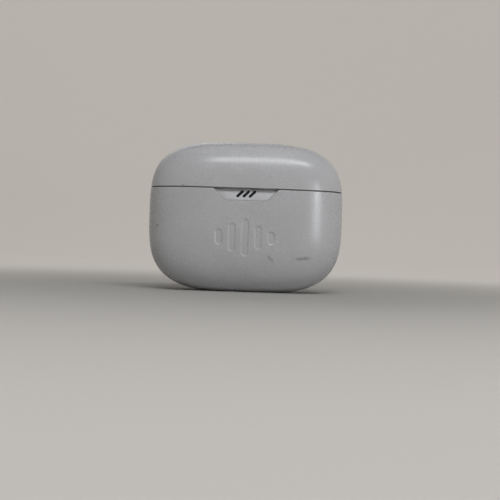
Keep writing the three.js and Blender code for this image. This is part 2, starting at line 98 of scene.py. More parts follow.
class EarbudsCaseSizes(bpy.types.PropertyGroup):
    """Sizes of the case"""

    width: length("Width", "Widest size from side to side", CASE_SIZE[0])
    depth: length("Depth", "Thickest size from front to rear", CASE_SIZE[1])
    height: length("Height", "Height from the foot to the top of the lid", CASE_SIZE[2])
    equator: length("Equator", "Height of the widest section", 0.025)
    foot_cut: length("Foot cut", "Depth of the slice that flattens the bottom", 0.0004)
    plan_power: FloatProperty(name="Plan squareness", description="Exponent of the plan outline", default=3.2)
    top_power: FloatProperty(name="Top squareness", description="Exponent of the upper outline", default=3.5)
    foot_power: FloatProperty(name="Foot squareness", description="Exponent of the lower outline", default=3.3)
    wall: length("Wall", "Thickness of both shells", 0.0016)
    seam: length("Seam height", "Height of the line between base and lid", 0.034)
    seam_gap: length("Seam gap", "Open height of the seam", 0.0003)
    rim_round: length("Rim rounding", "Radius on the outer edge of both rims", 0.0002)
    hinge_y: length("Hinge axis", "How far behind the middle the hinge axis lies", 0.0142)
    barrel: length("Hinge barrel radius", "Radius of the hinge barrels", 0.00205)
    relief: length("Hinge relief radius", "Radius of the clearance round the barrels", 0.00235)
    relief_half: length("Hinge relief half length", "Half of the hinge's length along X", 0.0213)
    knuckle_end: length("Knuckle end", "Outer end of the cradle's hinge knuckles", 0.021)
    bracket_half: length("Bracket half length", "Half of the lid barrel's length", 0.008)
    scoop_top: length("Scoop half width at the seam", "Half of the thumb scoop's upper width", 0.0107)
    scoop_bottom: length("Scoop half width below", "Half of the thumb scoop's lower width", 0.007)
    scoop_foot: length("Scoop lower edge", "Height of the thumb scoop's lower edge", 0.03)
    scoop_recess: length("Scoop depth", "How far the scoop runs in at the seam", 0.0018)
    window_width: length("Window width", "Width of one indicator window", 0.00088)
    window_length: length("Window length", "Length of one indicator window", 0.003)
    window_pitch: length("Window pitch", "Distance between indicator windows", 0.00203)
    window_height: length("Window height", "Height of the windows' middle", 0.0322)
    window_count: IntProperty(name="Windows", description="How many indicator windows", default=3, min=1, max=8)
    mark_width: length("Mark bar width", "Width of one bar of the front mark", 0.0022)
    mark_pitch: length("Mark pitch", "Distance between the mark's bars", 0.0043)
    mark_height: length("Mark height", "Height of the mark's middle", 0.018)
    mark_depth: length("Mark depth", "How deep the mark is pressed in", 0.00025)


class EarbudsCaseColours(bpy.types.PropertyGroup):
    """Colours of the case's finishes"""

    shell: colour("Covers", "Moulded plastic of the base and the lid", (0.455, 0.458, 0.472))
    cradle: colour("Cradle", "Inner mouldings", (0.53, 0.533, 0.545))
    lens: colour("Lens", "Smoked indicator lens", (0.006, 0.006, 0.007))
    mask: colour("Board", "Solder mask", (0.007, 0.052, 0.023))
    gold: colour("Contacts", "Gold plating", (0.83, 0.56, 0.2))
    floor: colour("Floor", "Studio floor and wall", (0.40, 0.391, 0.376))


def sizes_in_mm():
    """The scene's sizes as plain millimetres, with the powers and the count as they are."""
    made = {}
    props = bpy.context.scene.earbuds_case_sizes
    for name in EarbudsCaseSizes.__annotations__:
        value = getattr(props, name)
        made[name] = value if name.endswith(("_power", "_count")) else value / MM
    return type("Sizes", (), made)


# ---------------------------------------------------------------- smooth rules


def smooth_step(low, high, value):
    t = np.clip((value - low) / (high - low), 0.0, 1.0)
    return t * t * (3.0 - 2.0 * t)


def smooth_min(first, second, blend):
    mix = np.clip(0.5 + 0.5 * (second - first) / blend, 0.0, 1.0)
    return second * (1.0 - mix) + first * mix - blend * mix * (1.0 - mix)


def smooth_max(first, second, blend):
    return -smooth_min(-first, -second, blend)


def rounded_bar(x, z, half_x, half_z, radius):
    """Distance from a rounded rectangle's edge: negative inside it."""
    over_x = np.abs(x) - (half_x - radius)
    over_z = np.abs(z) - (half_z - radius)
    outside = np.hypot(np.maximum(over_x, 0), np.maximum(over_z, 0))
    return outside + np.minimum(np.maximum(over_x, over_z), 0) - radius


class Pebble:
    """The case's outer form, which is superelliptic in plan and in its upright outlines."""

    def __init__(self, s):
        self.s = s
        self.half_x = s.width / 2
        self.half_y = s.depth / 2

    def reach(self, z, inset=0.0):
        """How far the form spreads at a height, from 0 at a pole to 1 at the equator."""
        s = self.s
        upper = z >= s.equator
        tall = np.where(upper, s.height - s.equator, s.equator + s.foot_cut) - inset
        power = np.where(upper, s.top_power, s.foot_power)
        level = np.clip(np.abs(z - s.equator) / tall, 0.0, 1.0)
        return (1.0 - level**power) ** (1.0 / power)

    def place(self, plan, z, inset=0.0, reach=None):
        """Corners on the form for unit plan coordinates (columns), heights and an inset."""
        spread = self.reach(z, inset) if reach is None else reach
        x = (self.half_x - inset) * spread * plan[:, 0]
        y = (self.half_y - inset) * spread * plan[:, 1]
        return np.stack([x, y, np.broadcast_to(z, x.shape)], -1)

    def depth_at(self, x, z, inset=0.0):
        """Distance of the surface from the XZ plane at a place seen from the front or rear."""
        spread = self.reach(z, inset)
        across = np.clip(np.abs(x) / np.maximum((self.half_x - inset) * spread, 1e-9), 0.0, 1.0)
        return (self.half_y - inset) * spread * (1.0 - across**self.s.plan_power) ** (1.0 / self.s.plan_power)

    def columns(self, spacing, doubles=()):
        """Unit plan coordinates once round the form from the front centre, at the local spacing."""
        power = self.s.plan_power
        t = np.linspace(0.0, math.pi, 20001)
        a = np.sin(t) ** (2.0 / power)
        b = -np.sign(np.cos(t)) * np.abs(np.cos(t)) ** (2.0 / power)
        x, y = self.half_x * a, self.half_y * b
        step = np.hypot(np.diff(x), np.diff(y)) / spacing((x[1:] + x[:-1]) / 2, (y[1:] + y[:-1]) / 2)
        run = np.concatenate([[0.0], np.cumsum(step)])
        picks = np.interp(np.linspace(0.0, run[-1], max(8, round(run[-1])) + 1), run, t)
        rear = [math.pi - math.asin(min(1.0, at) ** (power / 2)) for at in doubles]
        picks = np.sort(np.concatenate([picks, rear]))
        a = np.clip(np.sin(picks), 0.0, 1.0) ** (2.0 / power)
        b = -np.sign(np.cos(picks)) * np.abs(np.cos(picks)) ** (2.0 / power)
        half = np.stack([a, b], -1)
        mirrored = half[1:-1][::-1] * [-1.0, 1.0]
        return np.concatenate([half, mirrored])

    def stations(self, lid, rim, spacing):
        """Heights and reaches from a pole (or the foot's middle) to a rim, at the local spacing."""
        s = self.s
        t = np.linspace(0.0, math.pi / 2, 20001)
        power = s.top_power if lid else s.foot_power
        tall = s.height - s.equator if lid else s.equator + s.foot_cut
        spread = np.sin(t) ** (2.0 / power)
        level = np.cos(t) ** (2.0 / power)
        z = s.equator + (tall if lid else -tall) * level
        if lid:
            keep = z >= rim
            spread, z = np.append(spread[keep], self.reach(np.array(rim))), np.append(z[keep], rim)
        else:
            keep = z > 0.0
            spread = np.concatenate([np.linspace(0.0, self.reach(np.array(0.0)), 400), spread[keep]])
            z = np.concatenate([np.zeros(400), z[keep]])
            above = np.linspace(s.equator, rim, 4000)[1:]
            spread, z = np.append(spread, self.reach(above)), np.append(z, above)
        wide = (self.half_x + self.half_y) / 2
        step = np.hypot(np.diff(spread) * wide, np.diff(z)) / spacing((z[1:] + z[:-1]) / 2)
        run = np.concatenate([[0.0], np.cumsum(step)])
        at = np.linspace(0.0, run[-1], max(8, round(run[-1])) + 1)
        return np.interp(at, run, z), np.interp(at, run, spread)


# ---------------------------------------------------------------- mesh tools


class Skin:
    """A mesh in the making, in millimetres: rings of corners, strips between them and flat fills."""

    def __init__(self):
        self.bm = bmesh.new()

    def ring(self, points):
        return [self.bm.verts.new(point) for point in points]

    def strip(self, first, second, closed=True):
        last = len(first) if closed else len(first) - 1
        for i in range(last):
            j = (i + 1) % len(first)
            corners = [first[i], first[j], second[j], second[i]]
            self.bm.faces.new(corners)

    def strips(self, rings, closed=True):
        for first, second in zip(rings, rings[1:]):
            self.strip(first, second, closed)

    def fan(self, ring, centre):
        middle = self.bm.verts.new(centre)
        for i, corner in enumerate(ring):
            self.bm.faces.new([corner, ring[(i + 1) % len(ring)], middle])

    def fill(self, *rings):
        edges = []
        for ring in rings:
            for i, corner in enumerate(ring):
                pair = (corner, ring[(i + 1) % len(ring)])
                edges.append(self.bm.edges.get(pair) or self.bm.edges.new(pair))
        bmesh.ops.triangle_fill(self.bm, use_beauty=True, use_dissolve=False, edges=edges)

    def grid(self, corners, closed=True):
        """Strips through an array of corners [row, column], and the rings they join."""
        rings = [self.ring(row) for row in corners]
        self.strips(rings, closed)
        return rings

    def merge(self, distance=1e-4):
        bmesh.ops.remove_doubles(self.bm, verts=self.bm.verts[:], dist=distance)
        bmesh.ops.dissolve_degenerate(self.bm, edges=self.bm.edges[:], dist=distance)

    def face_out(self):
        bmesh.ops.recalc_face_normals(self.bm, faces=self.bm.faces[:])

    def to_mesh(self, name):
        """The skin as a plain mesh in metres. The skin is used up."""
        self.bm.transform(Matrix.Scale(MM, 4))
        mesh = bpy.data.meshes.new(name)
        self.bm.to_mesh(mesh)
        self.bm.free()
        return mesh

    def thicken(self, thickness, towards):
        """Gives an open sheet a wall on the side away from a direction that its flat part faces."""
        self.merge()
        self.face_out()
        lean = sum((face.normal.dot(towards) * face.calc_area() for face in self.bm.faces), 0.0)
        if lean < 0:
            bmesh.ops.reverse_faces(self.bm, faces=self.bm.faces[:])
        bmesh.ops.solidify(self.bm, geom=self.bm.faces[:], thickness=thickness)


def closed_box(skin, low, high, edge=0.15):
    """A block with small rounded edges, from its lowest to its highest corner."""
    made = bmesh.ops.create_cube(skin.bm, size=1.0)
    size = Vector(high) - Vector(low)
    middle = (Vector(high) + Vector(low)) / 2
    for vert in made["verts"]:
        vert.co = Vector(vert.co[i] * size[i] + middle[i] for i in range(3))
    edges = {e for vert in made["verts"] for e in vert.link_edges}
    bmesh.ops.bevel(skin.bm, geom=list(edges), offset=edge, segments=2, profile=0.5, affect="EDGES")


def true_normals(form, mesh):
    """Sets the form's own normals, since the thin skewed columns beside the hinge cut-out would crease."""
    s = form.s
    normals = []
    for vert in mesh.vertices:
        x, y, z = vert.co / MM
        power = s.top_power if z > s.equator else s.foot_power
        tall = s.height - s.equator if z > s.equator else s.equator + s.foot_cut
        p = s.plan_power
        across, along = abs(x) / form.half_x, abs(y) / form.half_y
        plan = max((across**p + along**p) ** (1 / p), 1e-9)
        level = abs(z - s.equator) / tall
        if z < 0.05 or abs(plan**power + level**power - 1) > 1e-4:
            normals.append((0.0, 0.0, 0.0))
            continue
        spread = plan ** (power - p)
        way = Vector(
            (
                math.copysign(spread * across ** (p - 1) / form.half_x, x),
                math.copysign(spread * along ** (p - 1) / form.half_y, y),
                math.copysign(level ** (power - 1) / tall, z - s.equator),
            )
        )
        normals.append(way.normalized())
    mesh.normals_split_custom_set_from_vertices(normals)


def finish_piece(name, skin, body, material, replaced):
    """Turns a skin into a finished piece that rides on a body and stands for its CAD nodes."""
    skin.bm.normal_update()
    if skin.bm.calc_volume(signed=True) < 0:
        bmesh.ops.reverse_faces(skin.bm, faces=skin.bm.faces[:])
    return finish_mesh(name, skin.to_mesh(name), body, material, replaced)


def finish_mesh(name, mesh, body, material, replaced):
    mesh.polygons.foreach_set("use_smooth", [True] * len(mesh.polygons))
    mesh.set_sharp_from_angle(angle=SHARP_ANGLE)
    mesh.materials.clear()
    mesh.materials.append(bpy.data.materials[material])
    piece = bpy.data.objects.new(name, mesh)
    bpy.context.scene.collection.objects.link(piece)
    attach(piece, body)
    if replaced:
        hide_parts(*replaced)
    return piece


def circle(radius, count, centre=(0.0, 0.0)):
    angles = np.linspace(0, 2 * math.pi, count, endpoint=False)
    return np.stack([centre[0] + radius * np.cos(angles), centre[1] + radius * np.sin(angles)], -1)


def rounded_outline(half_x, half_y, radius, per_corner=10):
    """A rounded rectangle's corners, counterclockwise."""
    points = []
    for quarter, (sx, sy) in enumerate([(1, 1), (-1, 1), (-1, -1), (1, -1)]):
        for step in range(per_corner + 1):
            angle = (quarter + step / per_corner) * math.pi / 2
            points.append(
                (
                    sx * (half_x - radius) + radius * math.cos(angle),
                    sy * (half_y - radius) + radius * math.sin(angle),
                )
            )
    return np.array(points)


def shrunk(points, distance):
    """A counterclockwise loop moved inwards by a distance."""
    along = np.roll(points, -1, 0) - np.roll(points, 1, 0)
    along /= np.maximum(np.hypot(along[:, 0], along[:, 1]), 1e-9)[:, None]
    return points + distance * np.stack([-along[:, 1], along[:, 0]], -1)


# ---------------------------------------------------------------- shells


EASE = 8.0  # height over which the rows bend towards a cut-back edge, and over which a cap thickens
FLOOR_EASE = 6.0  # height over which the base's inside rises to its floor
SPLIT = 0.0006  # half the gap between the two columns at each end of the hinge cut-out
LEAD_IN = 0.16  # depth of the soft edge round the inlet


def rear_rim(s, y, side):
    """Height of a shell's edge where it is cut back round the hinge barrels."""
    rise = np.sqrt(np.maximum(s.relief**2 - (y - s.hinge_y) ** 2, 0.0))
    return s.seam - side * rise


def base_rim(s, x, y, rear):
    """Height of the base's edge: level, cut back at the hinge, and notched for the thumb scoop."""
    level = s.seam - s.seam_gap / 2
    lean = (level - s.scoop_foot) / (s.scoop_top - s.scoop_bottom)
    side = s.scoop_foot + (np.abs(x) - s.scoop_bottom) * lean
    notch = smooth_min(smooth_max(s.scoop_foot, side, 0.7), level, 0.3)
    cut_back = np.where(np.abs(x) < s.relief_half, rear_rim(s, y, 1), level)
    return np.where(rear, cut_back, notch)


def lid_rim(s, x, y, rear):
    level = s.seam + s.seam_gap / 2
    cut_back = np.where(np.abs(x) < s.relief_half, rear_rim(s, y, -1), level)
    return np.where(rear, cut_back, level)


def shell_rows(form, plan, stations, rim, lid, press=None):
    """Corners of a shell [row, column], up its outside, over its rounded rim and back inside it."""
    s = form.s
    side = -1 if lid else 1
    rear = plan[:, 1] > 0
    level = s.seam - side * s.seam_gap / 2
    bend = s.seam - side * EASE
    heights, spreads = stations

    def edge_at(inset):
        seat = form.place(plan, np.full(len(plan), s.seam), inset)
        return rim(s, seat[:, 0], seat[:, 1], rear)

    def height_of(z, edge):
        if (z - bend) * side <= 0:
            return np.full(len(plan), z)
        return bend + (z - bend) * (edge - bend) / (level - bend)

    rows = []
    outer_edge = edge_at(0.0) - side * s.rim_round
    for z, spread in zip(heights, spreads):
        if not lid and z <= 0.0:
            rows.append(form.place(plan, np.zeros(len(plan)), 0.0, spread))
            continue
        row_z = height_of(z, outer_edge)
        flat = form.place(plan, row_z)
        inset = press(flat[:, 0], row_z, rear) if press else 0.0
        rows.append(form.place(plan, row_z, inset))
    for step in range(1, 5):
        angle = step / 4 * math.pi / 2
        inset = s.rim_round * (1.0 - math.cos(angle))
        rows.append(form.place(plan, outer_edge + side * s.rim_round * math.sin(angle), inset))
    for step in range(1, 7):
        inset = s.rim_round + (s.wall - s.rim_round) * step / 6
        rows.append(form.place(plan, edge_at(inset), inset))
    inner_edge = edge_at(s.wall)
    turn = s.height - EASE if lid else FLOOR_EASE
    foot_reach = form.reach(np.array(0.0))
    floor = s.equator - (s.equator + s.foot_cut - s.wall) * (1 - foot_reach**s.foot_power) ** (1 / s.foot_power)
    for z, spread in list(zip(heights, spreads))[-2::-1]:
        if lid:
            squeezed = turn + (z - turn) * (EASE - s.wall) / EASE if z > turn else z
            rows.append(form.place(plan, height_of(squeezed, inner_edge), s.wall))
        elif z <= 0.0:
            low = s.equator - (s.equator + s.foot_cut - s.wall) * (1 - spread**s.foot_power) ** (1 / s.foot_power)
            rows.append(form.place(plan, np.full(len(plan), low), s.wall, spread))
        else:
            squeezed = floor + z * (turn - floor) / turn if z < turn else z
            rows.append(form.place(plan, height_of(squeezed, inner_edge), s.wall))
    return np.array(rows)


MARK_BARS = (5.0, 9.0, 12.0, 7.5, 4.0)
INLET_Z = 9.3
INLET_HALF = (4.72, 1.85)
INLET_RADIUS = 1.8


def inlet_edge(x, z):
    return rounded_bar(x, z - INLET_Z, *INLET_HALF, INLET_RADIUS)


def base_press(s):
    """How far the base's outside is pressed in: the front mark, and a soft lead-in round the inlet."""

    def press(x, z, rear):
        nearest = np.full(len(x), 9.0)
        for i, tall in enumerate(MARK_BARS):
            centre = (i - (len(MARK_BARS) - 1) / 2) * s.mark_pitch
            half = s.mark_width / 2
            edge = rounded_bar(x - centre, z - s.mark_height, half, tall / 2, half)
            nearest = np.minimum(nearest, edge)
        mark = s.mark_depth * smooth_step(0.17, -0.17, nearest)
        lead_in = LEAD_IN * smooth_step(0.55, 0.0, inlet_edge(x, z)) ** 2
        return np.where(rear, lead_in, mark)

    return press


def pierce_inlet(skin, rings, form, rows_out):
    """Opens the charging inlet's slot through both skins of the base and lines its wall."""
    count = len(rings)
    inner_of = {row: count - 1 - row for row in range(rows_out)}
    columns = len(rings[0])

    def inside(row, column):
        corners = [rings[row + i][(column + j) % columns].co for i in (0, 1) for j in (0, 1)]
        middle = sum(corners, Vector()) / 4
        return middle.y > 0 and abs(middle.x) < 6 and float(inlet_edge(middle.x, middle.z)) < 0

    cells = {
        (row, column)
        for row in range(rows_out - 1)
        for column in range(columns)
        if 6.0 < rings[row][column].co.z < 13.0 and inside(row, column)
    }
    border = set()
    for row, column in cells:
        left, right = (row, column), (row, (column + 1) % columns)
        upper_left, upper_right = (row + 1, column), (row + 1, (column + 1) % columns)
        for other, pair in (
            ((row, (column - 1) % columns), (left, upper_left)),
            ((row, (column + 1) % columns), (right, upper_right)),
            ((row - 1, column), (left, right)),
            ((row + 1, column), (upper_left, upper_right)),
        ):
            if other not in cells:
                border.add(pair)
    doomed = []
    for row, column in cells:
        for low in (row, inner_of[row] - 1):
            corners = {rings[low + i][(column + j) % columns] for i in (0, 1) for j in (0, 1)}
            doomed += [f for f in rings[low][column].link_faces if set(f.verts) == corners]
    bmesh.ops.delete(skin.bm, geom=doomed, context="FACES_ONLY")
    for place in {place for pair in border for place in pair}:
        row, column = place
        for at, inset in ((row, LEAD_IN), (inner_of[row], form.s.wall)):
            corner = rings[at][column]
            x, z = corner.co.x, corner.co.z
            for _ in range(6):
                gap = float(inlet_edge(x, z))
                slope_x = (float(inlet_edge(x + 1e-3, z)) - gap) / 1e-3
                slope_z = (float(inlet_edge(x, z + 1e-3)) - gap) / 1e-3
                steep = max(slope_x**2 + slope_z**2, 1e-6)
                x, z = x - gap * slope_x / steep, z - gap * slope_z / steep
            corner.co = (x, float(form.depth_at(np.array(x), np.array(z), inset)), z)
    for first, second in border:
        outer = [rings[first[0]][first[1]], rings[second[0]][second[1]]]
        inner = [rings[inner_of[second[0]]][second[1]], rings[inner_of[first[0]]][first[1]]]
        skin.bm.faces.new(outer + inner)
    loose = [v for v in skin.bm.verts if not v.link_faces]
    bmesh.ops.delete(skin.bm, geom=loose, context="VERTS")


def build_base_shell(s):
    form = Pebble(s)

    def across(x, y):
        fine = np.where(y < 0, np.where(np.abs(x) < 10.4, 0.2, 1.0), np.where(np.abs(x) < 5.4, 0.26, 1.0))
        slant = (y < 0) & (np.abs(x) >= 10.4) & (np.abs(x) < 12.4)
        return np.where(slant, 0.4, fine)

    def upwards(z):
        mark = (z > s.mark_height - 6.3) & (z < s.mark_height + 6.3)
        inlet = (z > INLET_Z - 2.6) & (z < INLET_Z + 2.6)
        return np.where(mark, 0.2, np.where(inlet, 0.28, np.where(z > s.seam - 4.5, 0.5, 1.0)))

    edge = s.relief_half / (form.half_x * float(form.reach(np.array(s.seam))))
    plan = form.columns(across, (edge - SPLIT, edge + SPLIT))
    stations = form.stations(False, s.seam - s.seam_gap / 2, upwards)
    rows = shell_rows(form, plan, stations, base_rim, False, base_press(s))
    skin = Skin()
    rings = skin.grid(rows)
    pierce_inlet(skin, rings, form, len(stations[0]))
    skin.merge()
    skin.face_out()
    cover = finish_piece("base_cover", skin, "base", "Cover plastic", ["base_shell"])
    true_normals(form, cover.data)
    return cover


def build_lid_shell(s):
    form = Pebble(s)
    edge = s.relief_half / (form.half_x * float(form.reach(np.array(s.seam))))
    plan = form.columns(lambda x, y: np.full(x.shape, 0.6), (edge - SPLIT, edge + SPLIT))
    stations = form.stations(True, s.seam + s.seam_gap / 2, lambda z: np.where(z < s.seam + 4, 0.4, 0.7))
    skin = Skin()
    skin.grid(shell_rows(form, plan, stations, lid_rim, True))
    skin.merge()
    skin.face_out()
    cover = finish_piece("lid_cover", skin, "lid", "Cover plastic", ["lid_shell"])
    true_normals(form, cover.data)
    return cover


# ---------------------------------------------------------------- hinge


def barrel_section(form, x, grow, start, ways):
    """A hinge barrel's outline at a place along it, trimmed by the outside of the case."""
    s = form.s

    def held(points):
        off_axis = np.hypot(points[:, 0] - s.hinge_y, points[:, 1] - s.seam) - s.barrel - grow
        outside = points[:, 0] - form.depth_at(np.full(len(points), x), points[:, 1]) - grow
        return smooth_max(off_axis, outside, 0.2) < 0

    outline = start + ways * rays_to(held, start, ways, 6.0)[:, None]
    return np.column_stack([np.full(len(outline), x), outline])


def add_barrel(skin, form, x0, x1, count=96):
    """A closed hinge barrel from x0 to x1, trimmed flush with the outside of the case."""
    s = form.s
    middle = np.linspace(x0 + 0.18, x1 - 0.18, max(4, round((x1 - x0) / 0.8)))
    stations = [(x0, -0.18), (x0 + 0.06, -0.07), *((x, 0.0) for x in middle), (x1 - 0.06, -0.07), (x1, -0.18)]
    ways = circle(1.0, count)
    start = np.array([s.hinge_y - 1.0, s.seam])
    rings = [skin.ring(barrel_section(form, x, grow, start, ways)) for x, grow in stations]
    skin.strips(rings)
    for ring in (rings[0], rings[-1]):
        skin.fan(ring, (ring[0].co.x, *start))


def build_hinge_bracket(s):
    form = Pebble(s)
    skin = Skin()
    add_barrel(skin, form, -s.bracket_half, s.bracket_half)
    low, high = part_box("hinge_bracket")
    closed_box(skin, (-s.bracket_half, low.y / MM, s.seam + 0.4), (s.bracket_half, low.y / MM + 1.0, high.z / MM))
    skin.merge()
    skin.face_out()
    return finish_piece("lid_hinge_bracket", skin, "lid", "Cover plastic", ["hinge_bracket"])


# ---------------------------------------------------------------- cradle


POCKET = {"x": 14.6, "y": 0.5, "z": 34.5, "half_x": 10.6, "half_y": 10.0, "deep": 10.5, "power": 2.3}
STEM = {"x": 20.5, "y": 1.5, "half_x": 4.1, "half_y": 4.0, "corner": 3.2, "floor": 11.0}
DECK = 33.3
LIP_TOP = 34.9
CONTACT_SPACING = 3.2
LINER = 35.3
DOME = {"half_x": 10.9, "half_y": 10.3, "high": 12.1}
FIT = 0.3  # gap between a moulding and what it drops into
BOSS_FOOT, BOSS_TOP = 7.7, 25.5
SCOOP_BACK = 12.97


def clipped_plan(form, z, inset, spacing, front_limits, rear_limits):
    """The form's outline at a height, cut straight where a limit on X has a smaller depth."""
    plan = form.columns(lambda x, y: np.full(x.shape, spacing))
    points = form.place(plan, np.full(len(plan), z), inset)
    for half, depth in rear_limits:
        near = (np.abs(points[:, 0]) < half) & (points[:, 1] > depth)
        points[near, 1] = depth
    for half, depth in front_limits:
        near = (np.abs(points[:, 0]) < half) & (points[:, 1] < -depth)
        points[near, 1] = -depth
    return points


def bowl_height(x, y):
    over = (np.abs(x - POCKET["x"]) / POCKET["half_x"]) ** POCKET["power"]
    over += (np.abs(y - POCKET["y"]) / POCKET["half_y"]) ** POCKET["power"]
    return POCKET["z"] - POCKET["deep"] * np.maximum(1.0 - over, 0.0) ** (1.0 / POCKET["power"])


def rays_to(inside, start, directions, far):
    """Distance along each ray to the edge of a region, by halving."""
    low = np.zeros(len(directions))
    high = np.full(len(directions), far)
    for _ in range(48):
        middle = (low + high) / 2
        held = inside(start + directions * middle[:, None])
        low, high = np.where(held, middle, low), np.where(held, high, middle)
    return low


def eased_corner(first, corner, last, steps):
    """Points of a rounded corner between two others, as rows of corners."""
    rows = []
    for step in range(steps + 1):
        t = step / steps
        rows.append(first * (1 - t) ** 2 + corner * 2 * t * (1 - t) + last * t * t)
    return rows


def pocket_rows(count=112):
    """Rings of a right-hand pocket from the deck's edge down to the floor of the stem well."""
    ways = circle(1.0, count)
    start = np.array([STEM["x"], STEM["y"]])
    top = DECK - 0.5
    level = ((POCKET["z"] - top) / POCKET["deep"]) ** POCKET["power"]

    def in_bowl(points):
        over = (np.abs(points[:, 0] - POCKET["x"]) / POCKET["half_x"]) ** POCKET["power"]
        over += (np.abs(points[:, 1] - POCKET["y"]) / POCKET["half_y"]) ** POCKET["power"]
        return over < 1.0 - level

    def in_stem(points):
        away = points - start
        return rounded_bar(away[:, 0], away[:, 1], STEM["half_x"], STEM["half_y"], STEM["corner"]) < 0

    brim = start + ways * rays_to(in_bowl, start, ways, 40.0)[:, None]
    mouth = start + ways * rays_to(in_stem, start, ways, 40.0)[:, None]

    def at(points, z):
        return np.column_stack([points, np.broadcast_to(z, len(points))])

    out = -shrunk(brim, 1.0) + brim
    rows = eased_corner(at(brim + 0.5 * out, DECK), at(brim, DECK), at(brim, top), 6)
    ledge = np.hypot(*(brim - mouth).T)[:, None]
    roll = np.minimum(0.7, 0.45 * ledge)
    rolled = mouth + roll * ways
    for step in range(1, 26):
        share = 1 - (1 - step / 26) ** 2.4
        points = brim + (rolled - brim) * share
        rows.append(at(points, np.minimum(bowl_height(points[:, 0], points[:, 1]), top)))
    height = bowl_height(mouth[:, 0], mouth[:, 1])
    brink = bowl_height(rolled[:, 0], rolled[:, 1])
    below = height - roll[:, 0]
    rows += eased_corner(at(rolled, brink), at(mouth, height), at(mouth, below), 6)
    bottom = STEM["floor"] + 0.9
    for step in range(1, 12):
        rows.append(at(mouth, below + (bottom - below) * step / 12))
    rows += eased_corner(
        at(mouth, bottom), at(mouth, STEM["floor"]), at(mouth - 0.9 * ways, STEM["floor"]), 6
    )
    return rows


def add_pocket(skin, sign):
    """One pocket with its contact holes, and the ring where it meets the deck."""
    rows = [row * [sign, 1.0, 1.0] for row in pocket_rows()]
    rings = skin.grid(rows)
    holes = []
    for end in (-1, 1):
        hole = circle(0.55, 28, (sign * STEM["x"], STEM["y"] + end * CONTACT_SPACING / 2))
        upper = skin.ring([(x, y, STEM["floor"]) for x, y in hole])
        lower = skin.ring([(x, y, STEM["floor"] - 0.3) for x, y in hole])
        skin.strip(upper, lower)
        holes.append(upper)
    skin.fill(rings[-1], *holes)
    return rings[0]


def sweep_tree():
    """A Geometry Nodes tree that sweeps an upright rounded bar along a path and caps its ends."""
    tree = bpy.data.node_groups.new("Sweep Bar", "GeometryNodeTree")
    face = tree.interface
    face.new_socket(name="Path", in_out="INPUT", socket_type="NodeSocketGeometry")
    for label in ("Thickness", "Tall", "Rounding"):
        face.new_socket(name=label, in_out="INPUT", socket_type="NodeSocketFloat")
    face.new_socket(name="Finish", in_out="INPUT", socket_type="NodeSocketMaterial")
    face.new_socket(name="Geometry", in_out="OUTPUT", socket_type="NodeSocketGeometry")
    node, link = tree.nodes.new, tree.links.new
    given, made = node("NodeGroupInput"), node("NodeGroupOutput")
    path = node("GeometryNodeMeshToCurve")
    upright = node("GeometryNodeSetCurveNormal")
    upright.mode = "Z_UP"
    bar = node("GeometryNodeCurvePrimitiveQuadrilateral")
    rounded = node("GeometryNodeFilletCurve")
    rounded.mode = "POLY"
    rounded.inputs["Count"].default_value = 4
    sweep = node("GeometryNodeCurveToMesh")
    sweep.inputs["Fill Caps"].default_value = True
    realize, paint = node("GeometryNodeRealizeInstances"), node("GeometryNodeSetMaterial")
    link(given.outputs["Path"], path.inputs["Mesh"])
    link(path.outputs["Curve"], upright.inputs["Curve"])
    link(given.outputs["Thickness"], bar.inputs["Width"])
    link(given.outputs["Tall"], bar.inputs["Height"])
    link(bar.outputs["Curve"], rounded.inputs["Curve"])
    link(given.outputs["Rounding"], rounded.inputs["Radius"])
    link(upright.outputs["Curve"], sweep.inputs["Curve"])
    link(rounded.outputs["Curve"], sweep.inputs["Profile Curve"])
    link(sweep.outputs["Mesh"], realize.inputs[0])
    link(realize.outputs[0], paint.inputs[0])
    link(given.outputs["Finish"], paint.inputs["Material"])
    link(paint.outputs[0], made.inputs[0])
    return tree


def evaluated_tree(mesh, tree, values):
    """The plain mesh that a Geometry Nodes tree makes of another mesh."""
    maker = bpy.data.objects.new("node_maker", mesh)
    bpy.context.scene.collection.objects.link(maker)
    modifier = maker.modifiers.new("Make", "NODES")
    modifier.node_group = tree
    sockets = {i.name: i.identifier for i in tree.interface.items_tree if i.in_out == "INPUT"}
    for label, value in values.items():
        modifier[sockets[label]] = value
    bpy.context.view_layer.update()
    graph = bpy.context.evaluated_depsgraph_get()
    made = bpy.data.meshes.new_from_object(maker.evaluated_get(graph), depsgraph=graph)
    bpy.data.objects.remove(maker)
    return made


def build_lip(s):
    """The raised rim that locates the lid, swept along its path and open at the lid's hinge barrel."""
    form = Pebble(s)
    plan = form.columns(lambda x, y: np.full(x.shape, 0.5))
    inner, outer = 3.8, 2.6
    bottom = DECK - 0.3
    middle = np.full(len(plan), (LIP_TOP + bottom) / 2)
    path = form.place(plan, middle, (inner + outer) / 2, form.reach(np.full(len(plan), DECK)))
    opened = (path[:, 1] > 0) & (np.abs(path[:, 0]) < s.bracket_half + 0.6)
    order = np.roll(np.arange(len(plan)), -(int(np.argmax(opened)) + int(opened.sum())))
    corners = [path[i] * MM for i in order if not opened[i]]
    line = bpy.data.meshes.new("lip_path")
    line.from_pydata(corners, [(i, i + 1) for i in range(len(corners) - 1)], [])
    values = {
        "Thickness": (inner - outer) * MM,
        "Tall": (LIP_TOP - bottom) * MM,
        "Rounding": 0.3 * MM,
        "Finish": bpy.data.materials["Cradle plastic"],
    }
    swept = evaluated_tree(line, sweep_tree(), values)
    skin = Skin()
    skin.bm.from_mesh(swept)
    skin.merge(1e-8)
    skin.face_out()
    skin.bm.to_mesh(swept)
    skin.bm.free()
    return finish_mesh("locating_lip", swept, "base", "Cradle plastic", [])


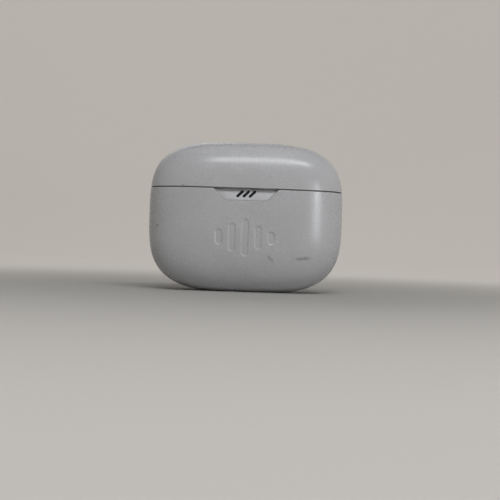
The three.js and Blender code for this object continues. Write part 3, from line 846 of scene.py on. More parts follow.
def add_boss(skin, x, y, z0, z1):
    """A hollow post for a board screw."""
    rings = [
        skin.ring([(px, py, z) for px, py in circle(radius, 28, (x, y))])
        for radius, z in ((1.8, z1), (1.8, z0), (0.7, z0), (0.7, z0 + 4.0))
    ]
    skin.strips(rings)
    skin.fan(rings[0], (x, y, z1))
    skin.fan(rings[-1], (x, y, z0 + 4.0))


def build_cradle(s):
    form = Pebble(s)
    trough = s.hinge_y - math.sqrt(s.relief**2 - (s.seam - DECK) ** 2)
    front = ((s.scoop_top + FIT, 12.95),)
    edge = clipped_plan(form, DECK, s.wall + FIT, 0.7, front, ((s.bracket_half + FIT, trough),))
    skin = Skin()
    pockets = [add_pocket(skin, sign) for sign in (-1, 1)]
    skin.fill(skin.ring(edge), *pockets)
    skin.thicken(0.8, Vector((0, 0, 1)))
    for sign in (-1, 1):
        near, far = s.bracket_half + FIT, s.knuckle_end
        add_barrel(skin, form, min(sign * near, sign * far), max(sign * near, sign * far))
    for name in ("front_left", "front_right", "rear_left", "rear_right"):
        low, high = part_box(f"board_screw_{name}")
        middle = (low + high) / 2 / MM
        add_boss(skin, middle.x, middle.y, BOSS_FOOT, BOSS_TOP)
    skin.face_out()
    return finish_piece("cradle", skin, "base", "Cradle plastic", ["earbud_tray"])


def build_lid_liner(s):
    form = Pebble(s)
    reliefs = ((s.relief_half + FIT, 12.2), (s.bracket_half + 0.8, 11.3))
    edge = clipped_plan(form, LINER, s.wall + FIT, 0.7, (), reliefs)
    skin = Skin()
    brims = []
    count = 96
    angles = np.linspace(0, 2 * math.pi, count, endpoint=False)
    power = POCKET["power"]
    unit = np.stack(
        [
            np.sign(np.cos(angles)) * np.abs(np.cos(angles)) ** (2 / power),
            np.sign(np.sin(angles)) * np.abs(np.sin(angles)) ** (2 / power),
        ],
        -1,
    )
    for sign in (-1, 1):
        top = LINER + 0.5

        def ring_at(z, grow=0.0):
            level = min(1.0, (z - POCKET["z"]) / DOME["high"])
            spread = (1 - level**power) ** (1 / power)
            points = unit * [DOME["half_x"] * spread + grow, DOME["half_y"] * spread + grow]
            points = points * [sign, 1.0] + [sign * POCKET["x"], POCKET["y"]]
            return np.column_stack([points, np.full(count, z)])

        rows = eased_corner(ring_at(top, 0.5) - [0, 0, 0.5], ring_at(top) - [0, 0, 0.5], ring_at(top), 5)
        start = math.asin(((top - POCKET["z"]) / DOME["high"]) ** (power / 2))
        for step in range(1, 29):
            lift = math.sin(start + (math.pi / 2 - start) * step / 28) ** (2 / power)
            rows.append(ring_at(POCKET["z"] + DOME["high"] * lift))
        brims.append(skin.grid(rows)[0])
    skin.fill(skin.ring(edge), *brims)
    skin.thicken(0.9, Vector((0, 0, -1)))
    skin.face_out()
    return finish_piece("lid_inner_moulding", skin, "lid", "Cradle plastic", ["lid_liner"])


# ---------------------------------------------------------------- thumb scoop and indicator


def scoop_floor(s, z):
    """Y of the scoop's sloping floor at a height."""
    front = -s.depth / 2
    return front + s.scoop_recess * (z - s.scoop_foot + 0.1) / (s.seam - s.scoop_foot + 0.1)


def window_outline(s, index, grow, per_end=12):
    """One slanted window, seen from the front, as X and Z, counterclockwise."""
    radius = s.window_width / 2 + grow
    reach = (s.window_length - s.window_width) / 2
    middle = (index - (s.window_count - 1) / 2) * s.window_pitch
    points = []
    for end in (1, -1):
        for step in range(per_end + 1):
            angle = math.pi / 4 + (-0.5 + step / per_end + (0 if end == 1 else 1)) * math.pi
            points.append(
                (
                    middle + end * reach * math.sqrt(0.5) + radius * math.cos(angle),
                    s.window_height + end * reach * math.sqrt(0.5) + radius * math.sin(angle),
                )
            )
    return np.array(points)


def on_floor(s, points, back=0.0):
    return [(x, scoop_floor(s, z) + back, z) for x, z in points]


def build_scoop(s):
    top = s.seam - s.seam_gap
    x = np.linspace(-s.scoop_top + 0.45, s.scoop_top - 0.45, 90)
    lower = base_rim(s, x, np.zeros(len(x)), np.zeros(len(x), bool)) + 0.05
    outline = np.concatenate([np.stack([x, lower], -1), np.stack([x, np.full(len(x), top)], -1)[::-1]])
    skin = Skin()
    face = skin.ring(on_floor(s, shrunk(outline, 0.1)))
    shoulder = skin.ring(on_floor(s, shrunk(outline, 0.03), 0.03))
    side = skin.ring(on_floor(s, outline, 0.1))
    back = skin.ring([(px, -SCOOP_BACK, pz) for px, pz in outline])
    skin.strips([face, shoulder, side, back])
    mouths = []
    for index in range(s.window_count):
        mouth = skin.ring(on_floor(s, window_outline(s, index, 0.05)))
        throat = skin.ring(on_floor(s, window_outline(s, index, 0.02), 0.03))
        deep = skin.ring([(px, scoop_floor(s, pz) + 0.4, pz) for px, pz in window_outline(s, index, 0.02)])
        skin.strips([mouth, throat, deep])
        skin.fill(deep)
        mouths.append(mouth)
    skin.fill(face, *mouths)
    skin.fill(back)
    skin.merge()
    skin.face_out()
    return finish_piece("scoop_bezel", skin, "base", "Scoop plastic", ["indicator_bezel"])


def build_windows(s):
    """The smoked windows: one bar made here, repeated along a line by Geometry Nodes."""
    skin = Skin()
    middle = (s.window_count - 1) / 2
    outline = window_outline(s, middle, 0.0)
    crown = skin.ring(on_floor(s, shrunk(outline, 0.08), 0.05))
    rows = [crown, skin.ring(on_floor(s, shrunk(outline, 0.03), 0.06)), skin.ring(on_floor(s, outline, 0.09))]
    rows.append(skin.ring(on_floor(s, outline, 0.38)))
    skin.strips(rows)
    skin.fill(crown)
    skin.fill(rows[-1])
    skin.merge()
    skin.face_out()
    mesh = repeat_along_line(skin.to_mesh("window_bar"), s.window_count, (s.window_pitch * MM, 0, 0), "Smoked lens")
    return finish_mesh("indicator_windows", mesh, "base", "Smoked lens", ["indicator_lens"])


def repeat_tree():
    """A Geometry Nodes tree that sets copies of a mesh along a line about its middle."""
    name = "Repeat Along Line"
    if name in bpy.data.node_groups:
        return bpy.data.node_groups[name]
    tree = bpy.data.node_groups.new(name, "GeometryNodeTree")
    face = tree.interface
    face.new_socket(name="Geometry", in_out="INPUT", socket_type="NodeSocketGeometry")
    face.new_socket(name="Count", in_out="INPUT", socket_type="NodeSocketInt")
    face.new_socket(name="Step", in_out="INPUT", socket_type="NodeSocketVector")
    face.new_socket(name="Finish", in_out="INPUT", socket_type="NodeSocketMaterial")
    face.new_socket(name="Geometry", in_out="OUTPUT", socket_type="NodeSocketGeometry")
    node = tree.nodes.new
    given, made = node("NodeGroupInput"), node("NodeGroupOutput")
    less = node("ShaderNodeMath")
    less.operation = "SUBTRACT"
    less.inputs[1].default_value = 1.0
    half = node("ShaderNodeMath")
    half.operation = "MULTIPLY"
    half.inputs[1].default_value = -0.5
    start = node("ShaderNodeVectorMath")
    start.operation = "SCALE"
    line = node("GeometryNodeMeshLine")
    line.mode = "OFFSET"
    copies = node("GeometryNodeInstanceOnPoints")
    realize = node("GeometryNodeRealizeInstances")
    paint = node("GeometryNodeSetMaterial")
    link = tree.links.new
    link(given.outputs["Count"], less.inputs[0])
    link(less.outputs[0], half.inputs[0])
    link(given.outputs["Step"], start.inputs[0])
    link(half.outputs[0], start.inputs["Scale"])
    link(given.outputs["Count"], line.inputs["Count"])
    link(start.outputs[0], line.inputs["Start Location"])
    link(given.outputs["Step"], line.inputs["Offset"])
    link(line.outputs[0], copies.inputs["Points"])
    link(given.outputs["Geometry"], copies.inputs["Instance"])
    link(copies.outputs[0], realize.inputs[0])
    link(realize.outputs[0], paint.inputs[0])
    link(given.outputs["Finish"], paint.inputs["Material"])
    link(paint.outputs[0], made.inputs[0])
    return tree


def repeat_along_line(mesh, count, step, material):
    values = {"Count": count, "Step": step, "Finish": bpy.data.materials[material]}
    return evaluated_tree(mesh, repeat_tree(), values)


# ---------------------------------------------------------------- charging inlet and contacts


PAD_COUNT = 12  # on each face of the tongue
PAD_PITCH = 0.5


def build_inlet():
    """The inlet's steel sleeve, its tongue, and the two rows of pads on the tongue."""
    low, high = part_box("usb_shell")
    half_x, half_z = (high.x - low.x) / 2 / MM, (high.z - low.z) / 2 / MM
    middle = (high.z + low.z) / 2 / MM
    front, back = low.y / MM, high.y / MM
    sheet = 0.3

    def loop(skin, inset, y):
        outline = rounded_outline(half_x - inset, half_z - inset, 1.5 - inset)
        return skin.ring([(x, y, z + middle) for x, z in outline])

    skin = Skin()
    rows = [loop(skin, 0, front), loop(skin, 0, back - 0.1), loop(skin, 0.04, back - 0.03), loop(skin, 0.12, back)]
    rows += [loop(skin, sheet - 0.1, back), loop(skin, sheet, back - 0.12), loop(skin, sheet, front + 0.6)]
    skin.strips(rows)
    skin.fill(rows[0])
    skin.fill(rows[-1])
    skin.merge()
    skin.face_out()
    finish_piece("inlet_sleeve", skin, "base", "Bright steel", ["usb_shell"])

    skin = Skin()
    low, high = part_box("usb_tongue")
    closed_box(skin, (-3.3, low.y / MM, middle - 0.35), (3.3, high.y / MM, middle + 0.35), 0.12)
    closed_box(skin, (low.x / MM, low.y / MM, low.z / MM), (high.x / MM, low.y / MM + 1.4, high.z / MM), 0.12)
    finish_piece("inlet_tongue", skin, "base", "Black moulding", ["usb_tongue"])

    skin = Skin()
    tip = high.y / MM
    for face in (1, -1):
        z = middle + face * 0.36
        closed_box(skin, (-0.13, tip - 3.2, z - 0.03), (0.13, tip - 0.5, z + 0.03), 0.02)
    pads = repeat_along_line(skin.to_mesh("inlet_pad"), PAD_COUNT, (PAD_PITCH * MM, 0, 0), "Gold plating")
    finish_mesh("inlet_contacts", pads, "base", "Gold plating", [])


def build_contact_pins():
    """Sprung charging pins, each a turned profile on its own body."""
    for side in SIDES:
        for place in ENDS:
            node = f"contact_pin_{side}_{place}"
            low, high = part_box(node)
            middle = (low + high) / 2 / MM
            bottom, top = low.z / MM, high.z / MM
            profile = [(0.38, bottom), (0.4, bottom + 0.03), (0.4, top - 0.34)]
            profile += [
                (0.4 * math.cos(a), top - 0.34 + 0.34 * math.sin(a)) for a in np.radians([15, 30, 45, 60, 75, 86])
            ]
            skin = Skin()
            rings = [
                skin.ring([(x, y, z) for x, y in circle(radius, 32, (middle.x, middle.y))]) for radius, z in profile
            ]
            skin.strips(rings)
            skin.fan(rings[0], (middle.x, middle.y, bottom))
            skin.fan(rings[-1], (middle.x, middle.y, top))
            skin.face_out()
            name, body = f"charging_pin_{side}_{place}", f"pin_{side}_{place}"
            finish_piece(name, skin, body, "Gold plating", [node])


# ---------------------------------------------------------------- shader groups


def shader_group(name, inputs, outputs):
    group = bpy.data.node_groups.new(name, "ShaderNodeTree")
    for label, kind, default in inputs:
        group.interface.new_socket(name=label, in_out="INPUT", socket_type=kind).default_value = default
    for label, kind in outputs:
        group.interface.new_socket(name=label, in_out="OUTPUT", socket_type=kind)
    return group, group.nodes.new("NodeGroupInput"), group.nodes.new("NodeGroupOutput")


def object_place(tree):
    return tree.nodes.new("ShaderNodeTexCoord").outputs["Object"]


def add_noise(tree, place, scale, detail=2.0, roughness=0.5):
    node = tree.nodes.new("ShaderNodeTexNoise")
    node.inputs["Detail"].default_value = detail
    node.inputs["Roughness"].default_value = roughness
    tree.links.new(place, node.inputs["Vector"])
    if isinstance(scale, (int, float)):
        node.inputs["Scale"].default_value = scale
    else:
        tree.links.new(scale, node.inputs["Scale"])
    return node.outputs["Fac"]


def add_math(tree, operation, first, second=None, third=None, clamp=False):
    node = tree.nodes.new("ShaderNodeMath")
    node.operation = operation
    node.use_clamp = clamp
    for socket, value in zip(node.inputs, (first, second, third)):
        if value is None:
            continue
        if isinstance(value, (int, float)):
            socket.default_value = value
        else:
            tree.links.new(value, socket)
    return node.outputs[0]


def add_vector_math(tree, operation, first, second=None):
    """The single number that a length or a dot product gives."""
    node = tree.nodes.new("ShaderNodeVectorMath")
    node.operation = operation
    tree.links.new(first, node.inputs[0])
    if second is not None:
        node.inputs[1].default_value = second
    return node.outputs["Value"]


def add_range(tree, value, low, high, to_low=0.0, to_high=1.0):
    node = tree.nodes.new("ShaderNodeMapRange")
    node.interpolation_type = "SMOOTHSTEP"
    tree.links.new(value, node.inputs["Value"])
    for label, number in (("From Min", low), ("From Max", high), ("To Min", to_low), ("To Max", to_high)):
        if isinstance(number, (int, float)):
            node.inputs[label].default_value = number
        else:
            tree.links.new(number, node.inputs[label])
    return node.outputs["Result"]


def make_grain_group():
    """Fine spark grain over a slow ripple, as a height in millimetres."""
    number = "NodeSocketFloat"
    group, given, made = shader_group(
        "Moulded Grain",
        [
            ("Grain Scale", number, 2400.0),
            ("Grain Depth", number, 0.002),
            ("Ripple Scale", number, 1050.0),
            ("Ripple Depth", number, 0.006),
        ],
        [("Height", number)],
    )
    place = object_place(group)
    grain = add_noise(group, place, given.outputs["Grain Scale"], 3.0, 0.6)
    ripple = add_noise(group, place, given.outputs["Ripple Scale"], 1.5, 0.4)
    fine = add_math(group, "MULTIPLY", grain, given.outputs["Grain Depth"])
    slow = add_math(group, "MULTIPLY", ripple, given.outputs["Ripple Depth"])
    group.links.new(add_math(group, "ADD", fine, slow), made.inputs["Height"])
    return group


def make_tone_group():
    """Slow drift in tone over a piece, broken by a fine speckle, from 0 to 1."""
    group, given, made = shader_group(
        "Tone Drift", [("Scale", "NodeSocketFloat", 60.0)], [("Drift", "NodeSocketFloat")]
    )
    place = object_place(group)
    drift = add_noise(group, place, given.outputs["Scale"], 3.0, 0.5)
    speckle = add_noise(group, place, 1700.0, 2.0, 0.6)
    both = add_math(group, "MULTIPLY_ADD", add_math(group, "SUBTRACT", speckle, 0.5), 0.9, drift)
    group.links.new(add_range(group, both, 0.2, 0.8), made.inputs["Drift"])
    return group


def make_wear_group():
    """Where hands polish and scuff a piece: its edges, and short fine scratches."""
    number = "NodeSocketFloat"
    group, given, made = shader_group(
        "Handling Wear",
        [("Edge Low", number, 0.52), ("Edge High", number, 0.62), ("Scratch Scale", number, 160.0)],
        [("Edges", number), ("Scratches", number)],
    )
    place = object_place(group)
    point = group.nodes.new("ShaderNodeNewGeometry").outputs["Pointiness"]
    breakup = add_noise(group, place, 900.0, 3.0, 0.6)
    edge = add_range(group, point, given.outputs["Edge Low"], given.outputs["Edge High"])
    group.links.new(add_math(group, "MULTIPLY", edge, breakup), made.inputs["Edges"])
    mapping = group.nodes.new("ShaderNodeMapping")
    mapping.inputs["Rotation"].default_value = (0.0, math.radians(28), 0.0)
    mapping.inputs["Scale"].default_value = (1.0, 1.0, 14.0)
    group.links.new(place, mapping.inputs["Vector"])
    hairs = add_noise(group, mapping.outputs["Vector"], given.outputs["Scratch Scale"], 2.0, 0.7)
    patch = add_range(group, add_noise(group, place, 95.0, 2.0, 0.5), 0.6, 0.72)
    marks = add_math(group, "MULTIPLY", add_range(group, hairs, 0.66, 0.72), patch)
    group.links.new(marks, made.inputs["Scratches"])
    return group


def make_dust_group():
    """Specks of dust and small pale scuffs."""
    number = "NodeSocketFloat"
    group, given, made = shader_group("Dust", [("Scale", number, 1400.0), ("Amount", number, 0.5)], [("Dust", number)])
    place = object_place(group)
    cells = group.nodes.new("ShaderNodeTexVoronoi")
    group.links.new(place, cells.inputs["Vector"])
    group.links.new(given.outputs["Scale"], cells.inputs["Scale"])
    speck = add_range(group, cells.outputs["Distance"], 0.12, 0.05)
    patch = add_range(group, add_noise(group, place, 240.0, 3.0, 0.6), 0.58, 0.7)
    both = add_math(group, "MULTIPLY", speck, patch)
    group.links.new(add_math(group, "MULTIPLY", both, given.outputs["Amount"]), made.inputs["Dust"])
    return group


def make_smudge_group():
    """A broken smear about a centre, seen from the front: 1 where it is darkest."""
    vector = "NodeSocketVector"
    group, given, made = shader_group(
        "Smudge",
        [("Centre", vector, (0.0, 0.0, 0.0)), ("Reach", vector, (1.0, 1.0, 1.0)), ("Lean", "NodeSocketFloat", 0.0)],
        [("Smear", "NodeSocketFloat")],
    )
    place = object_place(group)
    turn = group.nodes.new("ShaderNodeVectorRotate")
    turn.rotation_type = "Y_AXIS"
    group.links.new(place, turn.inputs["Vector"])
    group.links.new(given.outputs["Centre"], turn.inputs["Center"])
    group.links.new(given.outputs["Lean"], turn.inputs["Angle"])
    away = group.nodes.new("ShaderNodeVectorMath")
    away.operation = "SUBTRACT"
    group.links.new(turn.outputs[0], away.inputs[0])
    group.links.new(given.outputs["Centre"], away.inputs[1])
    unit = group.nodes.new("ShaderNodeVectorMath")
    unit.operation = "DIVIDE"
    group.links.new(away.outputs[0], unit.inputs[0])
    group.links.new(given.outputs["Reach"], unit.inputs[1])
    body = add_range(group, add_vector_math(group, "LENGTH", unit.outputs[0]), 1.0, 0.35)
    broken = add_range(group, add_noise(group, place, 1500.0, 4.0, 0.7), 0.4, 0.54)
    group.links.new(add_math(group, "MULTIPLY", body, broken), made.inputs["Smear"])
    return group


# ---------------------------------------------------------------- finishes


def add_group(tree, name, **values):
    node = tree.nodes.new("ShaderNodeGroup")
    node.node_tree = bpy.data.node_groups[name]
    for label, value in values.items():
        node.inputs[label.replace("_", " ")].default_value = value
    return node


def add_mix(tree, share, first, second):
    """A colour mixed from two others, each a colour or a socket."""
    node = tree.nodes.new("ShaderNodeMix")
    node.data_type = "RGBA"
    for socket, value in ((node.inputs[0], share), (node.inputs[6], first), (node.inputs[7], second)):
        if isinstance(value, bpy.types.NodeSocket):
            tree.links.new(value, socket)
        elif isinstance(value, (int, float)):
            socket.default_value = value
        else:
            socket.default_value = (*value, 1.0)
    return node.outputs[2]


def new_finish(name, **constants):
    material = bpy.data.materials.new(name)
    material.use_nodes = True
    shader = material.node_tree.nodes["Principled BSDF"]
    for label, value in constants.items():
        shader.inputs[label.replace("_", " ")].default_value = value
    return material, material.node_tree, shader


def add_bump(tree, shader, height, strength=1.0):
    """Feeds a height in millimetres to a shader's normal."""
    bump = tree.nodes.new("ShaderNodeBump")
    bump.inputs["Distance"].default_value = MM
    bump.inputs["Strength"].default_value = strength
    tree.links.new(height, bump.inputs["Height"])
    tree.links.new(bump.outputs["Normal"], shader.inputs["Normal"])


def scaled(shade, factor):
    return tuple(min(1.0, channel * factor) for channel in shade)


def plastic_finish(name, shade, rough, grain=0.004, ripple=0.012, wear=0.5, dust=0.4, ior=1.49, smudges=()):
    """A moulded plastic: tone drift, edge polish, hairline scratches, dust, smudges and spark grain."""
    material, tree, shader = new_finish(name, IOR=ior)
    tone = add_group(tree, "Tone Drift", Scale=70.0).outputs["Drift"]
    worn = add_group(tree, "Handling Wear")
    specks = add_group(tree, "Dust", Amount=dust).outputs["Dust"]
    base = add_mix(tree, tone, scaled(shade, 0.97), scaled(shade, 1.03))
    edges = add_math(tree, "MULTIPLY", worn.outputs["Edges"], wear)
    base = add_mix(tree, edges, base, scaled(shade, 1.18))
    scratches = add_math(tree, "MULTIPLY", worn.outputs["Scratches"], wear * 0.5)
    base = add_mix(tree, scratches, base, scaled(shade, 1.12))
    base = add_mix(tree, specks, base, scaled(shade, 0.7))
    for centre, reach, lean in smudges:
        smear = add_group(tree, "Smudge", Centre=centre, Reach=reach, Lean=lean).outputs["Smear"]
        base = add_mix(tree, add_math(tree, "MULTIPLY", smear, 0.8), base, scaled(shade, 0.45))
    tree.links.new(base, shader.inputs["Base Color"])
    rough_tone = add_range(tree, tone, 0.0, 1.0, rough - 0.03, rough + 0.04)
    polished = add_math(tree, "MULTIPLY_ADD", edges, -0.12, rough_tone)
    dulled = add_math(tree, "MULTIPLY_ADD", specks, 0.3, polished, clamp=True)
    tree.links.new(dulled, shader.inputs["Roughness"])
    height = add_group(tree, "Moulded Grain", Grain_Depth=grain, Ripple_Depth=ripple).outputs["Height"]
    add_bump(tree, shader, height)
    return material


def metal_finish(name, shade, rough, brushed=(1.0, 1.0, 1.0), tarnish=0.12):
    """A metal: grain along its brushing, and slow tarnish."""
    material, tree, shader = new_finish(name, Metallic=1.0)
    tone = add_group(tree, "Tone Drift", Scale=240.0).outputs["Drift"]
    base = add_mix(tree, tone, scaled(shade, 1.0 - tarnish), shade)
    tree.links.new(base, shader.inputs["Base Color"])
    place = object_place(tree)
    mapping = tree.nodes.new("ShaderNodeMapping")
    mapping.inputs["Scale"].default_value = brushed
    tree.links.new(place, mapping.inputs["Vector"])
    grain = add_noise(tree, mapping.outputs["Vector"], 5200.0, 3.0, 0.6)
    tree.links.new(add_range(tree, grain, 0.3, 0.7, rough - 0.06, rough + 0.1), shader.inputs["Roughness"])
    add_bump(tree, shader, add_math(tree, "MULTIPLY", grain, 0.004), 0.5)
    return material


def board_finish(name, shade):
    """Solder mask with copper tracks showing through it as a faint relief."""
    material, tree, shader = new_finish(name, IOR=1.5)
    place = object_place(tree)
    brick = tree.nodes.new("ShaderNodeTexBrick")
    brick.inputs["Scale"].default_value = 420.0
    brick.inputs["Mortar Size"].default_value = 0.06
    brick.inputs["Color1"].default_value = (0.0, 0.0, 0.0, 1.0)
    brick.inputs["Color2"].default_value = (0.25, 0.25, 0.25, 1.0)
    brick.inputs["Mortar"].default_value = (1.0, 1.0, 1.0, 1.0)
    tree.links.new(place, brick.inputs["Vector"])
    tone = add_group(tree, "Tone Drift", Scale=160.0).outputs["Drift"]
    base = add_mix(tree, brick.outputs["Color"], shade, scaled(shade, 1.9))
    base = add_mix(tree, add_math(tree, "MULTIPLY", tone, 0.3), base, scaled(shade, 0.6))
    tree.links.new(base, shader.inputs["Base Color"])
    tree.links.new(add_range(tree, tone, 0.0, 1.0, 0.28, 0.4), shader.inputs["Roughness"])
    add_bump(tree, shader, add_math(tree, "MULTIPLY", brick.outputs["Fac"], 0.02))
    return material


def floor_finish(name, shade, painted_glow):
    """The stage's matt paper with a painted glow: no glow at the middle where the case stands, which is a painted
    shadow round the case, rising to full glow 0.34 m out and over the wall, and twice as strong towards +X and +Y as
    on the other side, which is painted light from that side.
    """
    material, tree, shader = new_finish(name, Roughness=0.9, Specular_IOR_Level=0.2, Emission_Strength=1.0)
    tone = add_group(tree, "Tone Drift", Scale=3.0).outputs["Drift"]
    tree.links.new(add_mix(tree, tone, scaled(shade, 0.985), scaled(shade, 1.01)), shader.inputs["Base Color"])
    place = object_place(tree)
    # Painted shadow: the glow fades to nothing towards the middle, so the paper round the case is darker.
    far = add_range(tree, add_vector_math(tree, "LENGTH", place), 0.0, 0.34)
    # Painted light from one side: the glow is twice as strong towards +X and +Y as towards -X and -Y.
    lit_side = add_vector_math(tree, "DOT_PRODUCT", place, (0.6, 0.8, 0.0))
    share = add_math(tree, "MULTIPLY", far, add_range(tree, lit_side, -0.9, 0.9, 0.5, 1.0))
    tree.links.new(add_mix(tree, share, (0.0, 0.0, 0.0), painted_glow), shader.inputs["Emission Color"])
    return material


# Centre, reach and lean of each dark mark on the shells. The first three are marks that handling has left; the last
# darkens a small spot on the seam, where its edge has a nick.
SMUDGES = (
    ((0.0087, -0.0150, 0.0112), (0.0023, 0.006, 0.0007), math.radians(-42)),
    ((0.0192, -0.0145, 0.0117), (0.0036, 0.006, 0.0009), math.radians(4)),
    ((-0.0289, -0.0090, 0.0211), (0.0007, 0.006, 0.0006), 0.0),
    ((-0.0206, -0.0145, 0.0345), (0.0008, 0.006, 0.0004), 0.0),
)

INNER_FINISHES = {
    "Bright steel": ["hinge_pin"],
    "Black steel": [
        *(f"hinge_screw_{side}" for side in SIDES),
        *(f"board_screw_{end}_{side}" for end in ENDS for side in SIDES),
        "power_inductor",
    ],
    "Nickel plating": [f"{kind}_magnet_{side}" for kind in ("lid", "closing", "earbud") for side in SIDES],
    "Gold plating": [f"contact_barrel_{side}_{end}" for side in SIDES for end in ENDS],
    "Solder mask": ["main_board", "indicator_board"],
    "Amber film": ["indicator_ribbon"],
    "Black moulding": ["charger_chip", "controller_chip", "lid_sensor", *(f"contact_block_{side}" for side in SIDES)],
    "Pale moulding": ["indicator_led_1", "indicator_led_2", "indicator_led_3", "battery_socket"],
    "Cell foil": ["battery_cell"],
    "Foam pad": ["battery_tape"],
    "Red sleeve": ["battery_lead_red"],
    "Black sleeve": ["battery_lead_black"],
}


# ---------------------------------------------------------------- stage


def aim(thing, target, roll=0.0):
    way = Vector(target) - thing.location
    turn = way.to_track_quat("-Z", "Y")
    thing.rotation_mode = "QUATERNION"
    thing.rotation_quaternion = turn @ Matrix.Rotation(roll, 4, "Z").to_quaternion()


def add_soft_light(name, azimuth, elevation, distance, size, power, shade, spread=math.pi):
    """A rectangular soft box. Azimuth 0 is in front of the case, and it grows towards +X."""
    lamp = bpy.data.lights.new(name, "AREA")
    lamp.shape = "RECTANGLE"
    lamp.size, lamp.size_y = size
    lamp.energy = power
    lamp.color = shade
    lamp.spread = spread
    thing = bpy.data.objects.new(name, lamp)
    a, e = math.radians(azimuth), math.radians(elevation)
    middle = Vector((0, 0, CASE_SIZE[2] / 2))
    thing.location = middle + distance * Vector(
        (math.sin(a) * math.cos(e), -math.cos(a) * math.cos(e), math.sin(e))
    )
    aim(thing, middle)
    bpy.context.scene.collection.objects.link(thing)
    return thing


def build_cove(radius=0.75, bend=0.55, tall=0.5, around=96):
    """A round floor that turns up into a wall on all sides, so that no horizon shows."""
    profile = [(0.0, 0.0), (radius * 0.3, 0.0), (radius * 0.7, 0.0), (radius, 0.0)]
    for step in range(1, 25):
        angle = step / 24 * math.pi / 2
        profile.append((radius + bend * math.sin(angle), bend * (1 - math.cos(angle))))
    profile.append((radius + bend, bend + tall))
    bm = bmesh.new()
    centre = bm.verts.new((0, 0, 0))
    rings = []
    for reach, z in profile[1:]:
        ring = [bm.verts.new((x, y, z)) for x, y in circle(reach, around)]
        rings.append(ring)
    for i in range(around):
        bm.faces.new([centre, rings[0][i], rings[0][(i + 1) % around]])
    for first, second in zip(rings, rings[1:]):
        for i in range(around):
            j = (i + 1) % around
            bm.faces.new([first[i], second[i], second[j], first[j]])
    mesh = bpy.data.meshes.new("studio_cove")
    bm.to_mesh(mesh)
    bm.free()
    mesh.polygons.foreach_set("use_smooth", [True] * len(mesh.polygons))
    mesh.materials.append(bpy.data.materials["Studio paper"])
    cove = bpy.data.objects.new("studio_cove", mesh)
    bpy.context.scene.collection.objects.link(cove)


CAMERA_DISTANCE = 0.35
CAMERA_ROLL = math.radians(1.9)
VIEW_WIDTH = 0.170
CASE_IN_VIEW = (-0.00145, 0.01105)


def add_camera():
    """Looks straight at the front with a slight roll, and the case a little above the middle."""
    lens = bpy.data.cameras.new("front_camera")
    lens.sensor_width = 36.0
    lens.lens = lens.sensor_width * CAMERA_DISTANCE / VIEW_WIDTH
    lens.clip_start, lens.clip_end = 0.01, 20.0
    camera = bpy.data.objects.new("front_camera", lens)
    right = Vector((math.cos(CAMERA_ROLL), 0, math.sin(CAMERA_ROLL)))
    up = Vector((-math.sin(CAMERA_ROLL), 0, math.cos(CAMERA_ROLL)))
    middle = Vector((0, 0, CASE_SIZE[2] / 2))
    aside, above = CASE_IN_VIEW
    camera.location = middle - aside * right - above * up - Vector((0, CAMERA_DISTANCE, 0))
    camera.rotation_euler = (math.pi / 2, -CAMERA_ROLL, 0)
    bpy.context.scene.collection.objects.link(camera)
    bpy.context.scene.camera = camera


# ---------------------------------------------------------------- operators and panel


class FinishesOperator(bpy.types.Operator):
    """Make the shader groups and every finish"""

    bl_idname = "earbuds_case.finishes"
    bl_label = "Finishes"

    def execute(self, context):
        c = context.scene.earbuds_case_colours
        make_grain_group()
        make_tone_group()
        make_wear_group()
        make_dust_group()
        make_smudge_group()
        plastic_finish("Cover plastic", tuple(c.shell), 0.26, grain=0.002, ripple=0.009, wear=0.3, smudges=SMUDGES)
        plastic_finish("Scoop plastic", scaled(tuple(c.shell), 0.94), 0.36, grain=0.06, ripple=0.01)
        plastic_finish("Cradle plastic", tuple(c.cradle), 0.3, grain=0.001, ripple=0.003, wear=0.2, dust=0.15)
        plastic_finish("Smoked lens", tuple(c.lens), 0.45, grain=0.0004, ripple=0.001, wear=0.05, ior=1.2)
        plastic_finish("Black moulding", (0.012, 0.012, 0.013), 0.5, wear=0.2)
        plastic_finish("Pale moulding", (0.8, 0.76, 0.58), 0.4, wear=0.2)
        plastic_finish("Amber film", (0.43, 0.16, 0.03), 0.35, grain=0.0008, wear=0.2)
        plastic_finish("Foam pad", (0.012, 0.012, 0.012), 0.9, grain=0.02, ripple=0.02, wear=0.0)
        plastic_finish("Red sleeve", (0.36, 0.01, 0.012), 0.45, grain=0.001, wear=0.2)
        plastic_finish("Black sleeve", (0.008, 0.008, 0.008), 0.45, grain=0.001, wear=0.2)
        metal_finish("Bright steel", (0.62, 0.63, 0.65), 0.26, brushed=(1.0, 0.08, 1.0))
        metal_finish("Black steel", (0.05, 0.05, 0.052), 0.42)
        metal_finish("Nickel plating", (0.66, 0.63, 0.57), 0.2)
        metal_finish("Gold plating", tuple(c.gold), 0.22)
        metal_finish("Cell foil", (0.5, 0.51, 0.53), 0.36, brushed=(0.1, 1.0, 1.0), tarnish=0.06)
        board_finish("Solder mask", tuple(c.mask))
        # The last colour is the paper's painted glow: painted shadow round the case, painted light towards +X and +Y.
        floor_finish("Studio paper", tuple(c.floor), (0.335, 0.315, 0.289))
        return {"FINISHED"}


class CoversOperator(bpy.types.Operator):
    """Build the base and lid covers"""

    bl_idname = "earbuds_case.covers"
    bl_label = "Covers"

    def execute(self, context):
        s = sizes_in_mm()
        build_base_shell(s)
        build_lid_shell(s)
        return {"FINISHED"}


class InnerMouldingsOperator(bpy.types.Operator):
    """Build the cradle, the lid's inner moulding and the hinge bracket"""

    bl_idname = "earbuds_case.inner_mouldings"
    bl_label = "Inner mouldings"

    def execute(self, context):
        s = sizes_in_mm()
        build_cradle(s)
        build_lip(s)
        build_lid_liner(s)
        build_hinge_bracket(s)
        return {"FINISHED"}


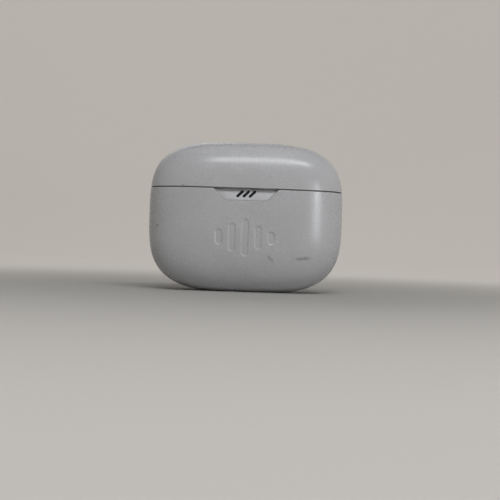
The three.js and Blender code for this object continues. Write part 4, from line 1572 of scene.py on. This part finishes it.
class IndicatorOperator(bpy.types.Operator):
    """Build the thumb scoop and the indicator windows"""

    bl_idname = "earbuds_case.indicator"
    bl_label = "Scoop and indicator"

    def execute(self, context):
        s = sizes_in_mm()
        build_scoop(s)
        build_windows(s)
        return {"FINISHED"}


class ContactsOperator(bpy.types.Operator):
    """Build the charging inlet and the sprung pins"""

    bl_idname = "earbuds_case.contacts"
    bl_label = "Inlet and contacts"

    def execute(self, context):
        build_inlet()
        build_contact_pins()
        return {"FINISHED"}


class InnerPartsOperator(bpy.types.Operator):
    """Give the carried-over inner parts their finishes"""

    bl_idname = "earbuds_case.inner_parts"
    bl_label = "Inner parts"

    def execute(self, context):
        for finish, nodes in INNER_FINISHES.items():
            for node in nodes:
                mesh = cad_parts[node].data
                mesh.materials.clear()
                mesh.materials.append(bpy.data.materials[finish])
        return {"FINISHED"}


class StageOperator(bpy.types.Operator):
    """Set up the floor, the soft lights and the camera"""

    bl_idname = "earbuds_case.stage"
    bl_label = "Stage"

    def execute(self, context):
        build_cove()
        add_soft_light("top_box", 14, 49, 0.62, (0.44, 0.09), 1.62, (0.965, 0.98, 1.0))
        narrow = math.radians(70)
        add_soft_light("side_strip", 39, 6, 0.7, (0.06, 0.2), 0.12, (0.95, 0.975, 1.0), narrow)
        add_soft_light("overhead", 20, 84, 0.8, (0.6, 0.6), 0.7, (1.0, 0.985, 0.96))
        add_soft_light("rear_fill", 200, 35, 0.85, (0.5, 0.3), 0.35, (0.98, 0.99, 1.0))
        world = bpy.data.worlds.new("studio_air")
        world.use_nodes = True
        air = world.node_tree.nodes["Background"]
        air.inputs["Color"].default_value = (0.9, 0.93, 1.0, 1.0)
        air.inputs["Strength"].default_value = 0.12
        context.scene.world = world
        context.scene.view_settings.view_transform = "Standard"
        add_camera()
        return {"FINISHED"}


BUILD_STEPS = (
    FinishesOperator,
    CoversOperator,
    InnerMouldingsOperator,
    IndicatorOperator,
    ContactsOperator,
    InnerPartsOperator,
    StageOperator,
)


class EarbudsCasePanel(bpy.types.Panel):
    """Build steps, sizes and colours of the case"""

    bl_idname = "VIEW3D_PT_earbuds_case"
    bl_label = "Earbuds Case"
    bl_space_type = "VIEW_3D"
    bl_region_type = "UI"
    bl_category = "Earbuds Case"

    def draw(self, context):
        layout = self.layout
        for step in BUILD_STEPS:
            layout.operator(step.bl_idname)
        for group, kind in (
            (context.scene.earbuds_case_sizes, EarbudsCaseSizes),
            (context.scene.earbuds_case_colours, EarbudsCaseColours),
        ):
            box = layout.box()
            for name in kind.__annotations__:
                box.prop(group, name)


CLASSES = (EarbudsCaseSizes, EarbudsCaseColours, *BUILD_STEPS, EarbudsCasePanel)


def register():
    for cls in CLASSES:
        bpy.utils.register_class(cls)
    bpy.types.Scene.earbuds_case_sizes = PointerProperty(type=EarbudsCaseSizes)
    bpy.types.Scene.earbuds_case_colours = PointerProperty(type=EarbudsCaseColours)


def unregister():
    del bpy.types.Scene.earbuds_case_colours
    del bpy.types.Scene.earbuds_case_sizes
    for cls in reversed(CLASSES):
        bpy.utils.unregister_class(cls)


def main():
    register()
    for step in BUILD_STEPS:
        group, name = step.bl_idname.split(".")
        getattr(getattr(bpy.ops, group), name)()


if __name__ == "__main__":
    main()
